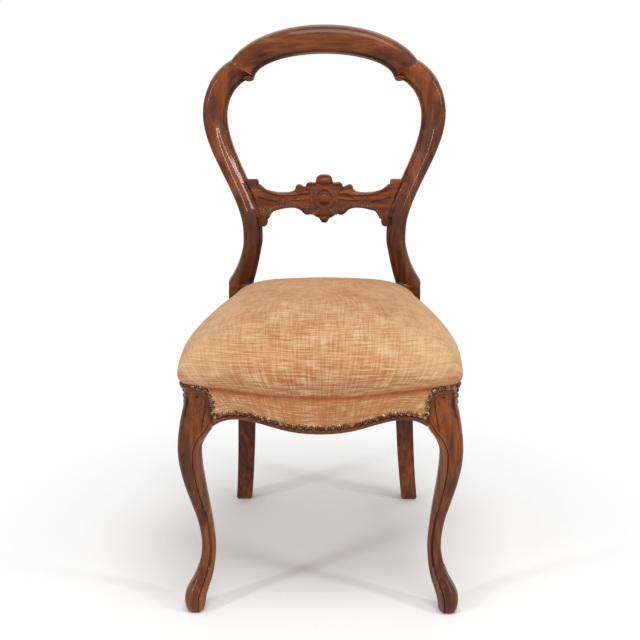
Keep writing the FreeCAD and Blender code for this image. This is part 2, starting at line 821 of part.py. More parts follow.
def tack(x, y, clearance=0.0):
    under = strap_middle_z - strap_wave - strap_thickness / 2
    head_top = under - 0.05
    head = rod((x, y, head_top - tack_head_thickness), (0, 0, 1), tack_head_thickness, tack_head_radius)
    if clearance:
        return rod((x, y, head_top), (0, 0, 1), tack_length + clearance, tack_radius + clearance)
    return head.fuse(rod((x, y, head_top - 0.1), (0, 0, 1), tack_length + 0.1, tack_radius))


def add_tacks(places, strap, ends, at):
    """A tack near each end of a strap, moved in until it has strap all round its head."""
    room = tack_head_radius + 0.5
    whole = math.pi * room ** 2 * strap_thickness
    for end, inward in zip(ends, (1, -1)):
        for edge in tack_edges:
            x, y = at(end + inward * edge)
            under_head = strap.common(rod((x, y, 300), (0, 0, 1), 100, room)).Volume
            clear = all(math.hypot(x - px, y - py) > 2.5 * tack_head_radius for px, py in places)
            if clear and under_head > 0.99 * whole:
                places.append((x, y))
                break


def tack_places(long_straps, cross_straps):
    """Three tacks through each end of each strap, into the rebate."""
    places = []
    spread = strap_width / 2 - 9
    thin = 0.05
    for strap, middle in zip(long_straps, strap_positions_x()):
        for x in (middle - spread, middle, middle + spread):
            column = strap.common(box(x - thin, x + thin, -90, 500, 300, 400)).BoundBox
            add_tacks(places, strap, (column.YMin, column.YMax), lambda s: (x, s))
    for strap, middle in zip(cross_straps, strap_positions_y()):
        for y in (middle - spread, middle, middle + spread):
            column = strap.common(box(-300, 300, y - thin, y + thin, 300, 400)).BoundBox
            add_tacks(places, strap, (column.XMin, column.XMax), lambda s: (s, y))
    return places


def arc_from(a, tangent, b):
    """Circular arc from a to b that starts along the tangent."""
    chord = b - a
    half = chord.Length / 2
    along = V(chord).normalize()
    side = tangent - along * tangent.dot(along)
    if side.Length < 1e-6:
        return Part.LineSegment(a, b).toShape()
    angle = tangent.getAngle(along)
    top = (a + b) * 0.5 + side.normalize() * (half * math.tan(angle / 2))
    return Part.Arc(a, top, b).toShape()


def biarc(a, ta, b, tb):
    """Two arcs from a to b with the given directions at the ends."""
    v = b - a
    t = ta + tb
    k = 2 * (1 - ta.dot(tb))
    d = (-v.dot(t) + math.sqrt(v.dot(t) ** 2 + k * v.dot(v))) / k
    joint = (a + b + (ta - tb) * d) * 0.5
    joint_tangent = ((b - tb * d) - (a + ta * d)).normalize()
    return [arc_from(a, ta, joint), arc_from(joint, joint_tangent, b)]


def make_spring(x, y):
    """Hourglass coil spring: one unbroken wire."""
    rise = spring_top_z - spring_bottom_z - 2 * wire_radius

    def at(turn):
        f = turn / spring_turns
        radius = mix(spring_waist_radius, spring_end_radius, (2 * f - 1) ** 2)
        climb = f - 0.55 * math.sin(2 * math.pi * f) / (2 * math.pi)
        angle = 2 * math.pi * turn
        return V(x + radius * math.cos(angle), y + radius * math.sin(angle),
                 spring_bottom_z + wire_radius + rise * climb)

    def heading(turn):
        step = 0.001
        return (at(turn + step) - at(turn - step)).normalize()

    quarters = spring_turns * 4
    edges = []
    for q in range(quarters):
        a, b = q / 4, (q + 1) / 4
        edges += biarc(at(a), heading(a), at(b), heading(b))
    path = Part.Wire(edges)
    section = Part.Wire(Part.makeCircle(wire_radius, at(0), heading(0)))
    return path.makePipeShell([section], True, False)


# Stuffing and cover: domes that follow the seat outline

side_shape = ((cover_start_z, 0.966), (335, 0.9665), (350, 0.9675), (361, 0.9692), (372, 0.9708),
              (380, 0.971), (388, 0.9707), (393, 0.9713), (397, 0.9735), (401, 0.979), (405, 0.986),
              (410, 0.994), (seat_girth_z, 1.0))


def side_scale(z):
    """Scale of the outline down the side of the cover, from the nails to the widest line."""
    for (z0, s0), (z1, s1) in zip(side_shape, side_shape[1:]):
        if z <= z1:
            return mix(s0, s1, (z - z0) / (z1 - z0))
    return 1.0


def crown_scale(share):
    """Scale of the outline at a share of the crown's height above the widest line."""
    return (1 - share ** 2.6) ** 0.4


def seat_side(inward, start_z):
    """The seat from the nails up to its widest line, drawn in by one amount."""
    less = inward / seat_half_width
    levels = [start_z] + [z for z, scale in side_shape if z > start_z + 1]
    return loft([seat_outline(side_scale(z) - less, z) for z in levels], ruled=True)


def seat_crown(inward, downward):
    """The seat above its widest line, drawn in and down by the amounts given."""
    less = inward / seat_half_width
    top_z = seat_crown_z - downward
    wires = [seat_outline(1 - less, seat_girth_z)]
    for share in (0.12, 0.25, 0.45, 0.62, 0.76, 0.87, 0.94, 0.98, 0.998):
        z = mix(seat_girth_z, top_z, share)
        wires.append(seat_outline(crown_scale(share) - less, z, share ** 0.9))
    return loft(wires)


def pad_dome(levels, ruled=False):
    return loft([seat_outline(scale, z) for z, scale in levels], ruled)


hessian_rim_z = rail_top_z + soft_gap


def below_hessian(lift):
    """The sprung space under the hessian, raised by the lift and carried down past the rails' top."""
    high = spring_top_z + 0.4 + lift
    low = hessian_rim_z + lift
    rim = inset(hessian_rim_inset + hessian_rim_width)
    return pad_dome([(hessian_rim_z - 3, rim), (low, rim), (mix(low, high, 0.35), 0.82),
                     (mix(low, high, 0.72), 0.73), (high, 0.63)], ruled=True)


def make_hessian():
    rim = outline_prism(inset(hessian_rim_inset), hessian_rim_z, hessian_rim_z + hessian_thickness)
    above = below_hessian(hessian_thickness).common(outline_prism(1, hessian_rim_z, spring_top_z + 10))
    return rim.fuse(above).cut(below_hessian(0))


def hessian_room():
    """Space that the first stuffing leaves for the hessian, its tacked rim and the springs."""
    rim_top = hessian_rim_z + hessian_thickness + soft_gap
    rim = outline_prism(inset(hessian_rim_inset - soft_gap), hessian_rim_z - 3, rim_top)
    return rim.fuse(below_hessian(hessian_thickness + soft_gap))


def first_stuffing_dome(lift):
    base = rail_top_z + soft_gap
    grow = lift / seat_half_width
    shape = ((0, inset(1)), (12, inset(-1)), (27, 0.90), (37, 0.80), (44, 0.62), (47, 0.4))
    return pad_dome([(base + rise + (lift if rise else 0), scale + grow) for rise, scale in shape])


def below_cover_edge():
    """Space below the lower edge of the cover, all the way round the seat."""
    drop = nail_above_rail - cover_below_nail
    front = below_edge(front_rail_edge(drop), V(0, 80 + front_post_width, 0))
    right = below_edge(side_rail_edge(drop), V(200, 0, 0))
    back = box(-200, 200, stile_front_y, 500, 250, side_rail_low_z + drop)
    return [front, right, mirror_x(right), back]


def knee_room():
    """Space that the cover leaves for the show-wood shield on the right front leg."""
    top_z = knee_shield_z + soft_gap
    room = box(post_inner_x, knee_half_width + 40, -60, front_post_width + 2, 250, top_z)
    shield = above_knee_shield()
    shield.translate(V(0, 0, soft_gap))
    # On the side face the knee swells out past the cover, which stops short of it there.
    swelling = box(knee_half_width - 15, knee_half_width + 40, front_post_width - 5, front_post_width + 2,
                   250, knee_shield_z - knee_shield_corner_radius)
    return room.cut(shield).fuse(swelling)


def make_seat():
    stiles = stile_room(300, 520)
    side = seat_side(0, cover_start_z).cut(seat_side(cover_thickness, cover_start_z - 1))
    crown = seat_crown(0, 0).cut(seat_crown(cover_thickness, cover_thickness))
    cover = side.fuse(crown).cut(stiles)
    for tool in below_cover_edge():
        cover = cover.cut(tool)
    knee = knee_room()
    cover = cover.cut(knee).cut(mirror_x(knee))
    lining = cover_thickness + cover_gap
    stuffed = seat_side(lining, rail_top_z + soft_gap).fuse(seat_crown(lining, lining))
    top_stuffing = stuffed.cut(first_stuffing_dome(soft_gap)).cut(stiles)
    hessian = make_hessian().cut(stiles)
    first_stuffing = first_stuffing_dome(0).cut(hessian_room()).cut(stiles)
    return cover, top_stuffing, first_stuffing, hessian


# Brass nails

def nail_solid():
    radius = (nail_head_radius ** 2 + nail_head_height ** 2) / (2 * nail_head_height)
    base = radius - nail_head_height
    latitude = math.degrees(math.asin(base / radius))
    cap = Part.makeSphere(radius, V(0, 0, -base), V(0, 0, 1), latitude, 90, 360)
    shank = Part.makeCylinder(nail_shank_radius, nail_shank_length + 0.2, V(0, 0, 0.2), V(0, 0, -1))
    return cap.fuse(shank)


one_nail = nail_solid()


def nails_at(places):
    nails = []
    for place, outward in places:
        shape = one_nail.copy()
        shape.Placement = FreeCAD.Placement(place, FreeCAD.Rotation(V(0, 0, 1), outward))
        nails.append(shape)
    return group(nails)


def nail_holes(places):
    radius = nail_shank_radius + 0.1
    depth = nail_shank_length + 0.2
    return group([Part.makeCylinder(radius, depth + 1, place + out, out * -1) for place, out in places])


def evenly(points, pitch):
    """Points at one spacing along a row of points, first and last kept clear by half a pitch."""
    lengths = [0.0]
    for a, b in zip(points, points[1:]):
        lengths.append(lengths[-1] + (b - a).Length)
    count = int(lengths[-1] / pitch)
    step = lengths[-1] / count
    result = []
    i = 0
    for n in range(count):
        target = (n + 0.5) * step
        while lengths[i + 1] < target:
            i += 1
        f = (target - lengths[i]) / (lengths[i + 1] - lengths[i])
        result.append(points[i] + (points[i + 1] - points[i]) * f)
    return result


def on_cover(point, z):
    """The place on the cover at height z that lies straight outside a point of the rails' face line."""
    scale = (side_scale(z) + 0.2 / seat_half_width) / rail_face_scale
    return V(point.x * scale, seat_centre_y + (point.y - seat_centre_y) * scale, z)


knee_row_offset = 6.5
knee_row_x = post_inner_x + 2.0 - knee_row_offset


def front_nail_places():
    reach = knee_row_x - nail_pitch / 2
    steps = 120
    row = []
    for i in range(steps + 1):
        x = mix(-reach, reach, i / steps)
        z = edge_height(front_rail_edge(nail_above_rail), x, 0)
        row.append(on_cover(face_point(face_points, x=x)[0], z))
    return [(p, face_point(face_points, x=p.x)[1]) for p in evenly(row, nail_pitch)]


def side_nail_places():
    y0 = knee_half_width - knee_row_x + nail_pitch / 2
    y1 = side_rail_ends[1] - 3
    steps = 100
    row = []
    for i in range(steps + 1):
        y = mix(y0, y1, i / steps)
        z = edge_height(side_rail_edge(nail_above_rail), y, 1)
        row.append(on_cover(face_point(face_points, y=y)[0], z))
    return [(p, face_point(face_points, y=p.y)[1]) for p in evenly(row, nail_pitch)]


def knee_nail_places():
    """One row that climbs over the knee shield on the front face, round the corner and down the side face."""
    start = face_point(face_points, x=knee_row_x)[0]
    end = face_point(face_points, y=knee_half_width - knee_row_x)[0]
    lap = [p for p in face_points if p.x > start.x and p.y < end.y]
    lap = [start] + sorted(lap, key=lambda p: p.y + p.x) + [end]
    lengths = [0.0]
    for a, b in zip(lap, lap[1:]):
        lengths.append(lengths[-1] + (b - a).Length)
    total = lengths[-1]

    def at(s, z):
        i = max(n for n in range(len(lap) - 1) if lengths[n] <= s)
        a, b = lap[i], lap[i + 1]
        p = a + (b - a) * ((s - lengths[i]) / (lengths[i + 1] - lengths[i]))
        along = (b - a).normalize()
        return on_cover(p, z), V(along.y, -along.x, 0)

    corner = knee_shield_corner_radius + knee_row_offset
    centre_z = knee_shield_z - knee_shield_corner_radius
    low_z = front_rail_arch_z + 4
    path = [V(0, low_z, 0), V(0, centre_z, 0)]
    for i in range(1, 13):
        angle = math.radians(180 - 90 * i / 12)
        path.append(V(corner + corner * math.cos(angle), centre_z + corner * math.sin(angle), 0))
    half = path + [V(total / 2, knee_shield_z + knee_row_offset, 0)]
    whole = half + [V(total - p.x, p.y, 0) for p in reversed(half[:-1])]
    return [at(p.x, p.y) for p in evenly(whole, nail_pitch)]


def back_nail_places():
    reach = stile_base_inner_x - 3
    z = side_rail_low_z + nail_above_rail
    y = on_cover(V(0, seat_centre_y + (seat_back_y - seat_centre_y) * rail_face_scale, 0), z).y
    return [(p, V(0, 1, 0)) for p in evenly([V(-reach, y, z), V(reach, y, z)], nail_pitch)]


def mirrored_places(places):
    return [(V(-p.x, p.y, p.z), V(-out.x, out.y, out.z)) for p, out in places]


# Dowels and screws that hold the frame together

def shoulder_dowels():
    middle = [(shoulder_outer[i] + shoulder_inner[i]) / 2 for i in (0, 1)]
    ux = shoulder_inner[0] - shoulder_outer[0]
    uz = shoulder_inner[1] - shoulder_outer[1]
    width = math.hypot(ux, uz)
    ux, uz = ux / width, uz / width
    result = []
    for offset in (-12, 10):
        x = middle[0] + ux * offset
        z = middle[1] + uz * offset
        y = rake_y(z) + 0.62 * stile_depth
        result.append(((x, y, z), (-uz, rake_gradient(z) * ux, ux)))
    return result


def mid_rail_dowels():
    result = []
    for dz in (-13, 12):
        z = mid_rail_z + dz
        g = (z - waist_inner_z) / (widest_inner_z - waist_inner_z)
        x = mix(waist_inner_x, widest_inner_x, smooth_step(g))
        result.append(((x, rake_y(z) + mid_rail_setback + mid_rail_thickness / 2 + 1, z), (1, 0, 0)))
    return result


def seat_rail_dowels():
    front_inner = face_point(face_points, x=post_inner_x - 1)[0].y
    side_front = face_point(face_points, y=front_post_width + 1)[0].x
    side_back = face_point(face_points, y=stile_front_y - 1)[0].x
    back_face = seat_centre_y + (seat_back_y - seat_centre_y) * rail_face_scale
    half = rail_thickness / 2
    result = []
    for z in (366, 389):
        result.append(((post_inner_x, front_inner + half, z), (1, 0, 0)))
        result.append(((side_front - half, front_post_width, z - 9), (0, 1, 0)))
        result.append(((side_back - half - 1.5, stile_front_y - 2, z), (0, 1, 0)))
        result.append(((stile_base_inner_x - 2, back_face - dowel_radius - 2.5, z - 12), (1, 0, 0)))
    return result


def both_sides(places):
    result = []
    for centre, direction in places:
        result.append((centre, direction))
        result.append(((-centre[0], centre[1], centre[2]), (-direction[0], direction[1], direction[2])))
    return result


def block_screws(corner_x, corner_y, reach, toward_y):
    """Two screws from the middle of a block's long face out through its corner."""
    middle = (corner_x - reach / 2, corner_y + toward_y * reach / 2)
    return [((middle[0], middle[1], z), (1, -toward_y, 0)) for z in (366, 386)]


def main():
    # Wooden frame
    stile = make_back_leg_stile()
    leg = make_front_leg()
    front_rail = make_front_rail()
    side_rail = make_side_rail()
    wood = {
        "front_leg_right": leg, "front_leg_left": mirror_x(leg),
        "back_leg_stile_right": stile, "back_leg_stile_left": mirror_x(stile),
        "crest_rail": make_crest_rail(), "mid_rail": make_mid_rail([stile, mirror_x(stile)]),
        "front_seat_rail": front_rail, "back_seat_rail": make_back_rail(),
        "side_seat_rail_right": side_rail, "side_seat_rail_left": mirror_x(side_rail),
    }
    front_corner = (knee_half_width - 21, 16, block_reach_front, 1)
    back_corner = (stile_base_inner_x + 11, stile_front_y + 10, block_reach_back, -1)
    blocks = {}
    for name, (x, y, reach, toward) in {"front": front_corner, "back": back_corner}.items():
        block = corner_block(x, y, reach, toward, [front_rail, side_rail, wood["back_seat_rail"], leg, stile])
        blocks[f"corner_block_{name}_right"] = block
        blocks[f"corner_block_{name}_left"] = mirror_x(block)

    # Holes for the dowels and screws, and the dowels and screws themselves
    dowel_sets = {
        "crest_dowels": both_sides(shoulder_dowels()),
        "mid_rail_dowels": both_sides(mid_rail_dowels()),
        "seat_rail_dowels": both_sides(seat_rail_dowels()),
    }
    screw_places = both_sides(block_screws(*front_corner) + block_screws(*back_corner))
    tools = [dowel(c, d, dowel_clearance) for places in dowel_sets.values() for c, d in places]
    tools += [wood_screw(c, d, 0.1) for c, d in screw_places]

    # Springs, webbing and tacks
    long_straps, cross_straps = make_straps()
    tack_xy = tack_places(long_straps, cross_straps)
    tack_holes = [tack(x, y, 0.1) for x, y in tack_xy]
    springs = {}
    for name, (x, y) in spring_places().items():
        springs[f"seat_spring_{name}"] = make_spring(x, y)

    # Cover, stuffing and nails
    cover, top_stuffing, first_stuffing, hessian = make_seat()
    knee = knee_nail_places()
    side = side_nail_places()
    nails = {
        "front_nails": front_nail_places(), "back_nails": back_nail_places(),
        "knee_nails_right": knee, "knee_nails_left": mirrored_places(knee),
        "side_nails_right": side, "side_nails_left": mirrored_places(side),
    }
    nail_tools = {name: nail_holes(places) for name, places in nails.items()}

    for name, shape in wood.items():
        parts[name] = drilled(shape, tools + tack_holes + list(nail_tools.values()))
    for name, shape in blocks.items():
        parts[name] = drilled(shape, tools)
    parts["corner_block_screws"] = group([wood_screw(c, d) for c, d in screw_places])
    for name, places in dowel_sets.items():
        parts[name] = group([dowel(c, d) for c, d in places])
    parts["webbing_front_to_back"] = group([drilled(strap, tack_holes) for strap in long_straps])
    parts["webbing_side_to_side"] = group([drilled(strap, tack_holes) for strap in cross_straps])
    parts["webbing_tacks"] = group([tack(x, y) for x, y in tack_xy])
    parts.update(springs)
    parts["spring_hessian"] = hessian
    parts["first_stuffing"] = first_stuffing
    parts["top_stuffing"] = top_stuffing
    parts["seat_cover"] = drilled(cover, list(nail_tools.values()))
    for name, places in nails.items():
        parts[name] = nails_at(places)

    # Move the chair so that the origin is below its middle, and write the files.
    boxes = [shape.optimalBoundingBox(False) for shape in parts.values()]
    middle_y = (min(b.YMin for b in boxes) + max(b.YMax for b in boxes)) / 2
    print("middle of the chair", round(middle_y, 2), "mm behind the front of the knees")
    os.makedirs("parts", exist_ok=True)
    for name, shape in parts.items():
        shape.translate(V(0, -middle_y, 0))
        print(name, shape.isValid(), len(shape.Solids), round(shape.Volume / 1000, 1), "cm3")
        shape.exportStep(f"parts/{name}.step")


def drilled(shape, tools):
    """The shape with every hole that reaches it."""
    near = []
    for tool in tools:
        if not shape.BoundBox.intersect(tool.BoundBox):
            continue
        near += [t for t in (tool.Solids or [tool]) if shape.BoundBox.intersect(t.BoundBox)]
    if not near:
        return shape
    return shape.cut(near)


def spring_places():
    side = strap_pitch
    front = first_strap_y + strap_pitch
    back = first_strap_y + 3 * strap_pitch
    middle = first_strap_y + 2 * strap_pitch
    return {"front_left": (-side, front), "front_right": (side, front), "middle": (0, middle),
            "back_left": (-side, back), "back_right": (side, back)}


main()
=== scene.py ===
# %% [markdown]
# A balloon back chair: a polished mahogany frame, a carved rail between the stiles, and a sprung seat
# in worn velvet with a row of brass nails. This file dresses the chair piece by piece around a fixed
# frame. The frame holds every piece at its real size, so nothing here moves or resizes the chair.

# %% Load the frame
import math

import bmesh
import bpy
from mathutils import Matrix, Quaternion, Vector, noise


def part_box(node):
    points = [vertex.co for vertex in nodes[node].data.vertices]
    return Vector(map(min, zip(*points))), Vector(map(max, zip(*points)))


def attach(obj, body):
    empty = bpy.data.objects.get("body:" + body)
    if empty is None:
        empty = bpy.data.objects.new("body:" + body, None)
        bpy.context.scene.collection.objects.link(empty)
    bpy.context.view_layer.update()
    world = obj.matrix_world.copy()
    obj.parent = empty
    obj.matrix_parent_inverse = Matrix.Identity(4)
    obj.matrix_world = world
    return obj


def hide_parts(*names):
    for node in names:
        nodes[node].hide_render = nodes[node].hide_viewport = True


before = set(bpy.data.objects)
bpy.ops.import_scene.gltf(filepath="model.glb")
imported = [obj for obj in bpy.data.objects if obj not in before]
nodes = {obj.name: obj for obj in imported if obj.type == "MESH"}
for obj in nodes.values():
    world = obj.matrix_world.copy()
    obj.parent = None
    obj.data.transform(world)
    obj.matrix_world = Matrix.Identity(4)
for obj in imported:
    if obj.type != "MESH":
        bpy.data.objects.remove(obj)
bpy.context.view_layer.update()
print("pieces in the frame:", len(nodes))

# %% [markdown]
# The frame is in metres and the numbers below are millimetres, counted back from the front faces of
# the legs. One value from the frame, the back face of the back seat rail, tells where those faces are.

# %% Where things are
back_rail_face_from_knee = 0.40201
knee_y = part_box("back_seat_rail")[1].y - back_rail_face_from_knee
mm = 0.001


def at(x, y, z):
    """A place given in millimetres, with y counted back from the front faces of the legs."""
    return Vector((x * mm, knee_y + y * mm, z * mm))


def mix(a, b, share):
    return a + (b - a) * share


def clamped(value, low=0.0, high=1.0):
    return max(low, min(high, value))


def smooth_step(value):
    value = clamped(value)
    return value * value * (3 - 2 * value)


print("front of the knees at y =", round(knee_y, 4))

# %% [markdown]
# The camera stands a little right of the middle, at eye height, and looks down on the seat with a
# long lens. A long lens keeps the legs nearly parallel, as in a catalogue picture. The camera object
# leans by less than half a degree.

# %% Camera
camera_data = bpy.data.cameras.new("camera")
camera_data.lens = 105.75
camera_data.sensor_width = 36.0
camera = bpy.data.objects.new("camera", camera_data)
bpy.context.scene.collection.objects.link(camera)
camera.location = at(70.4, -2775.2, 1463.0)
look = Vector((-0.0236, 0.9456, -0.3244))
camera_lean = math.radians(-0.41)
camera.rotation_mode = "QUATERNION"
camera.rotation_quaternion = look.to_track_quat("-Z", "Y") @ Quaternion((0, 0, 1), camera_lean)
bpy.context.scene.camera = camera
print("camera height", round(camera.location.z, 3))

# %% [markdown]
# Every finish below is a small sum of noise patterns. Written as nodes such sums are hard to read,
# so one class stands for an output socket and turns Python's own operators into Math nodes. A second
# class holds the material and adds all other nodes through one method.

# %% Shader maths as Python expressions
class Signal:
    """An output socket that can be added, subtracted and multiplied."""

    def __init__(self, finish, socket):
        self.finish = finish
        self.socket = socket

    def _math(self, operation, first, second):
        return self.finish.node("ShaderNodeMath", {"operation": operation}, {0: first, 1: second})

    def __add__(self, other):
        return self._math("ADD", self, other)

    def __sub__(self, other):
        return self._math("SUBTRACT", self, other)

    def __rsub__(self, other):
        return self._math("SUBTRACT", other, self)

    def __mul__(self, other):
        return self._math("MULTIPLY", self, other)


class Finish:
    """A material and the nodes that make it."""

    def __init__(self, name, **constants):
        self.material = bpy.data.materials.new(name)
        self.material.use_nodes = True
        self.tree = self.material.node_tree
        self.shader = self.tree.nodes["Principled BSDF"]
        for socket, value in constants.items():
            self.shader.inputs[socket.replace("_", " ")].default_value = value

    def node(self, kind, settings=None, inputs=None, output=0):
        made = self.tree.nodes.new(kind)
        for name, value in (settings or {}).items():
            if name == "stops":
                self._set_stops(made.color_ramp, value)
            else:
                setattr(made, name, value)
        for key, value in (inputs or {}).items():
            if isinstance(value, Signal):
                self.tree.links.new(value.socket, made.inputs[key])
            else:
                made.inputs[key].default_value = value
        return Signal(self, made.outputs[output])

    def _set_stops(self, ramp, stops):
        while len(ramp.elements) < len(stops):
            ramp.elements.new(0.5)
        for element, (position, colour) in zip(ramp.elements, stops):
            element.position = position
            element.color = colour

    def set(self, socket, signal):
        self.tree.links.new(signal.socket, self.shader.inputs[socket])

    def coordinates(self, kind="Object"):
        return self.node("ShaderNodeTexCoord", output=kind)

    def attribute(self, name):
        return self.node("ShaderNodeAttribute", {"attribute_name": name}, output="Fac")

    def noise(self, place, scale, detail=2.0, roughness=0.5, distortion=0.0):
        stretched = self.node("ShaderNodeMapping", {}, {"Vector": place, "Scale": scale})
        return self.node("ShaderNodeTexNoise", {}, {"Vector": stretched, "Scale": 1.0, "Detail": detail,
                                                    "Roughness": roughness, "Distortion": distortion})

    def range(self, signal, low, high, to_low=0.0, to_high=1.0):
        """The signal from low to high, spread smoothly from to_low to to_high."""
        return self.node("ShaderNodeMapRange", {"interpolation_type": "SMOOTHSTEP"},
                         {"Value": signal, "From Min": low, "From Max": high, "To Min": to_low,
                          "To Max": to_high})

    def colours(self, share, first, second):
        """Two colours, mixed by a signal."""
        return self.node("ShaderNodeMix", {"data_type": "RGBA"}, {0: share, 6: first, 7: second}, output=2)

    def ramp(self, signal, stops):
        return self.node("ShaderNodeValToRGB", {"stops": stops}, {"Fac": signal}, output="Color")

    def bump(self, height, distance, strength):
        self.set("Normal", self.node("ShaderNodeBump", {}, {"Height": height, "Distance": distance,
                                                            "Strength": strength}))


def colour(red, green, blue):
    """A colour as a screen shows it, from 0 to 255, made into the shader's own linear values."""
    def linear(value):
        value /= 255
        return value / 12.92 if value <= 0.04045 else ((value + 0.055) / 1.055) ** 2.4

    return (linear(red), linear(green), linear(blue), 1.0)


def grained(axis, along, across):
    """Noise scales with their own value along one axis. The smaller it is, the longer the streaks."""
    scales = [across, across, across]
    scales[axis] = along
    return scales


# %% [markdown]
# Polished mahogany. The real wood is a warm red brown with long streaks along the grain and fine dark
# pores, under a thin clear polish. The finish paints shade into every groove and paints the raised edges
# pale, partly as wear and partly as painted highlight, and that is what makes carving readable, so the
# finish reads an attribute called hollow that each carved piece stores on its own points.

# %% Polished mahogany
streak_fineness = 9
# How dark the painted shade in the grooves is.
painted_groove_shade = 0.35


def mahogany(name, grain_axis, *tones):
    dark, middle, light = (colour(*tone) for tone in tones)
    wood = Finish(name, Coat_Weight=0.3, Coat_Roughness=0.06, Specular_IOR_Level=0.1)
    place = wood.coordinates()
    broad = grained(grain_axis, 1.4, 14.0)
    fine = [scale * streak_fineness for scale in broad]
    figure = wood.noise(place, broad, detail=3.0, roughness=0.55, distortion=0.6)
    streaks = wood.noise(place, fine, detail=3.0, roughness=0.6, distortion=0.3)
    pores = wood.range(wood.noise(place, grained(grain_axis, 55.0, 900.0), detail=1.0), 0.60, 0.72)
    tone = wood.range(figure * 0.62 + streaks * 0.38, 0.33, 0.68)
    body = wood.ramp(tone, [(0.0, dark), (0.5, middle), (1.0, light)])
    pored = wood.colours(pores * 0.5, body, dark)
    hollow = wood.attribute("hollow")
    # Painted shade: grooves are darkened. Painted highlight, partly wear: raised edges are made pale.
    groove = wood.range(hollow, 0.52, 0.85)
    ridge_wear_and_highlight = wood.range(1 - hollow, 0.52, 0.9)
    painted_groove_shade_colour = [value * painted_groove_shade for value in dark[:3]] + [1.0]
    shaded = wood.colours(groove * 0.85, pored, painted_groove_shade_colour)
    wear_and_painted_light = wood.colours(ridge_wear_and_highlight * 0.3, shaded, light)
    wood.set("Base Color", wear_and_painted_light)
    wood.set("Roughness", wood.range(streaks + pores * 0.4, 0.2, 1.0, 0.30, 0.52))
    wood.bump(streaks * 0.3 - pores, 0.0001, 0.35)
    return wood.material


upright_wood = mahogany("mahogany_upright", 2, (50, 25, 13), (98, 48, 22), (144, 76, 30))
crosswise_wood = mahogany("mahogany_crosswise", 0, (56, 28, 14), (104, 52, 24), (148, 80, 32))
lengthwise_wood = mahogany("mahogany_side_rails", 1, (50, 25, 13), (92, 46, 22), (130, 70, 30))

# %% [markdown]
# The hollow attribute is worked out from the mesh. Each point is compared with the mean of its
# neighbours: where that mean lies outside the surface the point is in a groove, and where it lies
# inside the point is on a ridge. Several rounds of averaging widen the answer to a few millimetres.

# %% Hollows and ridges of a carved piece
averaging_rounds = 3


def store_hollows(mesh, gain):
    bm = bmesh.new()
    bm.from_mesh(mesh)
    bm.verts.ensure_lookup_table()
    values = []
    neighbours = []
    for vert in bm.verts:
        around = [edge.other_vert(vert) for edge in vert.link_edges]
        neighbours.append([other.index for other in around])
        if not around:
            values.append(0.0)
            continue
        mean = sum((other.co for other in around), Vector()) / len(around)
        spacing = sum(edge.calc_length() for edge in vert.link_edges) / len(around)
        values.append((mean - vert.co).dot(vert.normal) / max(spacing * spacing, 1e-9))
    for _ in range(averaging_rounds):
        values = [0.5 * values[i] + 0.5 * sum(values[j] for j in near) / max(len(near), 1)
                  for i, near in enumerate(neighbours)]
    attribute = mesh.attributes.get("hollow") or mesh.attributes.new("hollow", "FLOAT", "POINT")
    attribute.data.foreach_set("value", [clamped(0.5 + gain * value) for value in values])
    bm.free()


# %% [markdown]
# A piece of the frame arrives as loose triangles, one patch to each face. Its carved copy is merged
# into one skin, joined with any carving that is added, wrapped by a fine voxel skin and eased, which
# rounds every edge a little as a carver's scraper does. The copy then stands in for the plain piece.

# %% Turning a frame piece into a carved one
def mesh_object(name, bm):
    mesh = bpy.data.meshes.new(name)
    bm.to_mesh(mesh)
    bm.free()
    made = bpy.data.objects.new(name, mesh)
    bpy.context.scene.collection.objects.link(made)
    return made


def merged_bmesh(name):
    bm = bmesh.new()
    bm.from_mesh(nodes[name].data)
    bmesh.ops.remove_doubles(bm, verts=bm.verts, dist=0.00002)
    return bm


def apply_modifiers(target):
    evaluated = target.evaluated_get(bpy.context.evaluated_depsgraph_get())
    finished = bpy.data.meshes.new_from_object(evaluated)
    target.modifiers.clear()
    target.data = finished


def wrap_in_skin(target, voxel, rounds):
    """Makes one even skin round everything in the mesh and eases it."""
    remesh = target.modifiers.new("skin", "REMESH")
    remesh.mode = "VOXEL"
    remesh.voxel_size = voxel
    apply_modifiers(target)
    bm = bmesh.new()
    bm.from_mesh(target.data)
    for _ in range(rounds):
        bmesh.ops.smooth_vert(bm, verts=bm.verts, factor=0.5,
                              use_axis_x=True, use_axis_y=True, use_axis_z=True)
    for face in bm.faces:
        face.smooth = True
    bm.to_mesh(target.data)
    bm.free()


def finish_piece(target, material, slot, *replaced):
    target.data.materials.clear()
    target.data.materials.append(material)
    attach(target, "root")
    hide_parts(*replaced)
    print(target.name, "has", sum(len(p.vertices) - 2 for p in target.data.polygons), "triangles")


def carve(name, source, material, carving=None, *, voxel, rounds, gain=0.00035):
    bm = merged_bmesh(source)
    if carving:
        carving(bm)
    piece = mesh_object(name, bm)
    wrap_in_skin(piece, voxel, rounds)
    store_hollows(piece.data, gain)
    finish_piece(piece, material, "mahogany", source)


# %% [markdown]
# Most of this chair is sweeps and domes: an outline that changes as it travels. A plain grid does that
# well. It starts flat from one operator, and every corner is then moved to its place on the surface, so
# the quads run along the piece and the polish shows no ripples. Where the sheet meets itself it is
# merged, and its open ends are filled.

# %% A grid that becomes a surface
sweep_gain = 0.008


def moved_grid(bm, around, along, place):
    """Moves each corner of a grid to place(u, v), with u and v from 0 to 1, and closes the tube."""
    made = bmesh.ops.create_grid(bm, x_segments=around, y_segments=along, size=0.5)["verts"]
    for vert in made:
        vert.co = place(vert.co.x + 0.5, vert.co.y + 0.5)
    bmesh.ops.remove_doubles(bm, verts=made, dist=0.00001)
    made = [vert for vert in made if vert.is_valid]
    rims = {edge for vert in made for edge in vert.link_edges if edge.is_boundary}
    bmesh.ops.holes_fill(bm, edges=list(rims), sides=0)
    faces = list({face for vert in made for face in vert.link_faces})
    bmesh.ops.recalc_face_normals(bm, faces=faces)


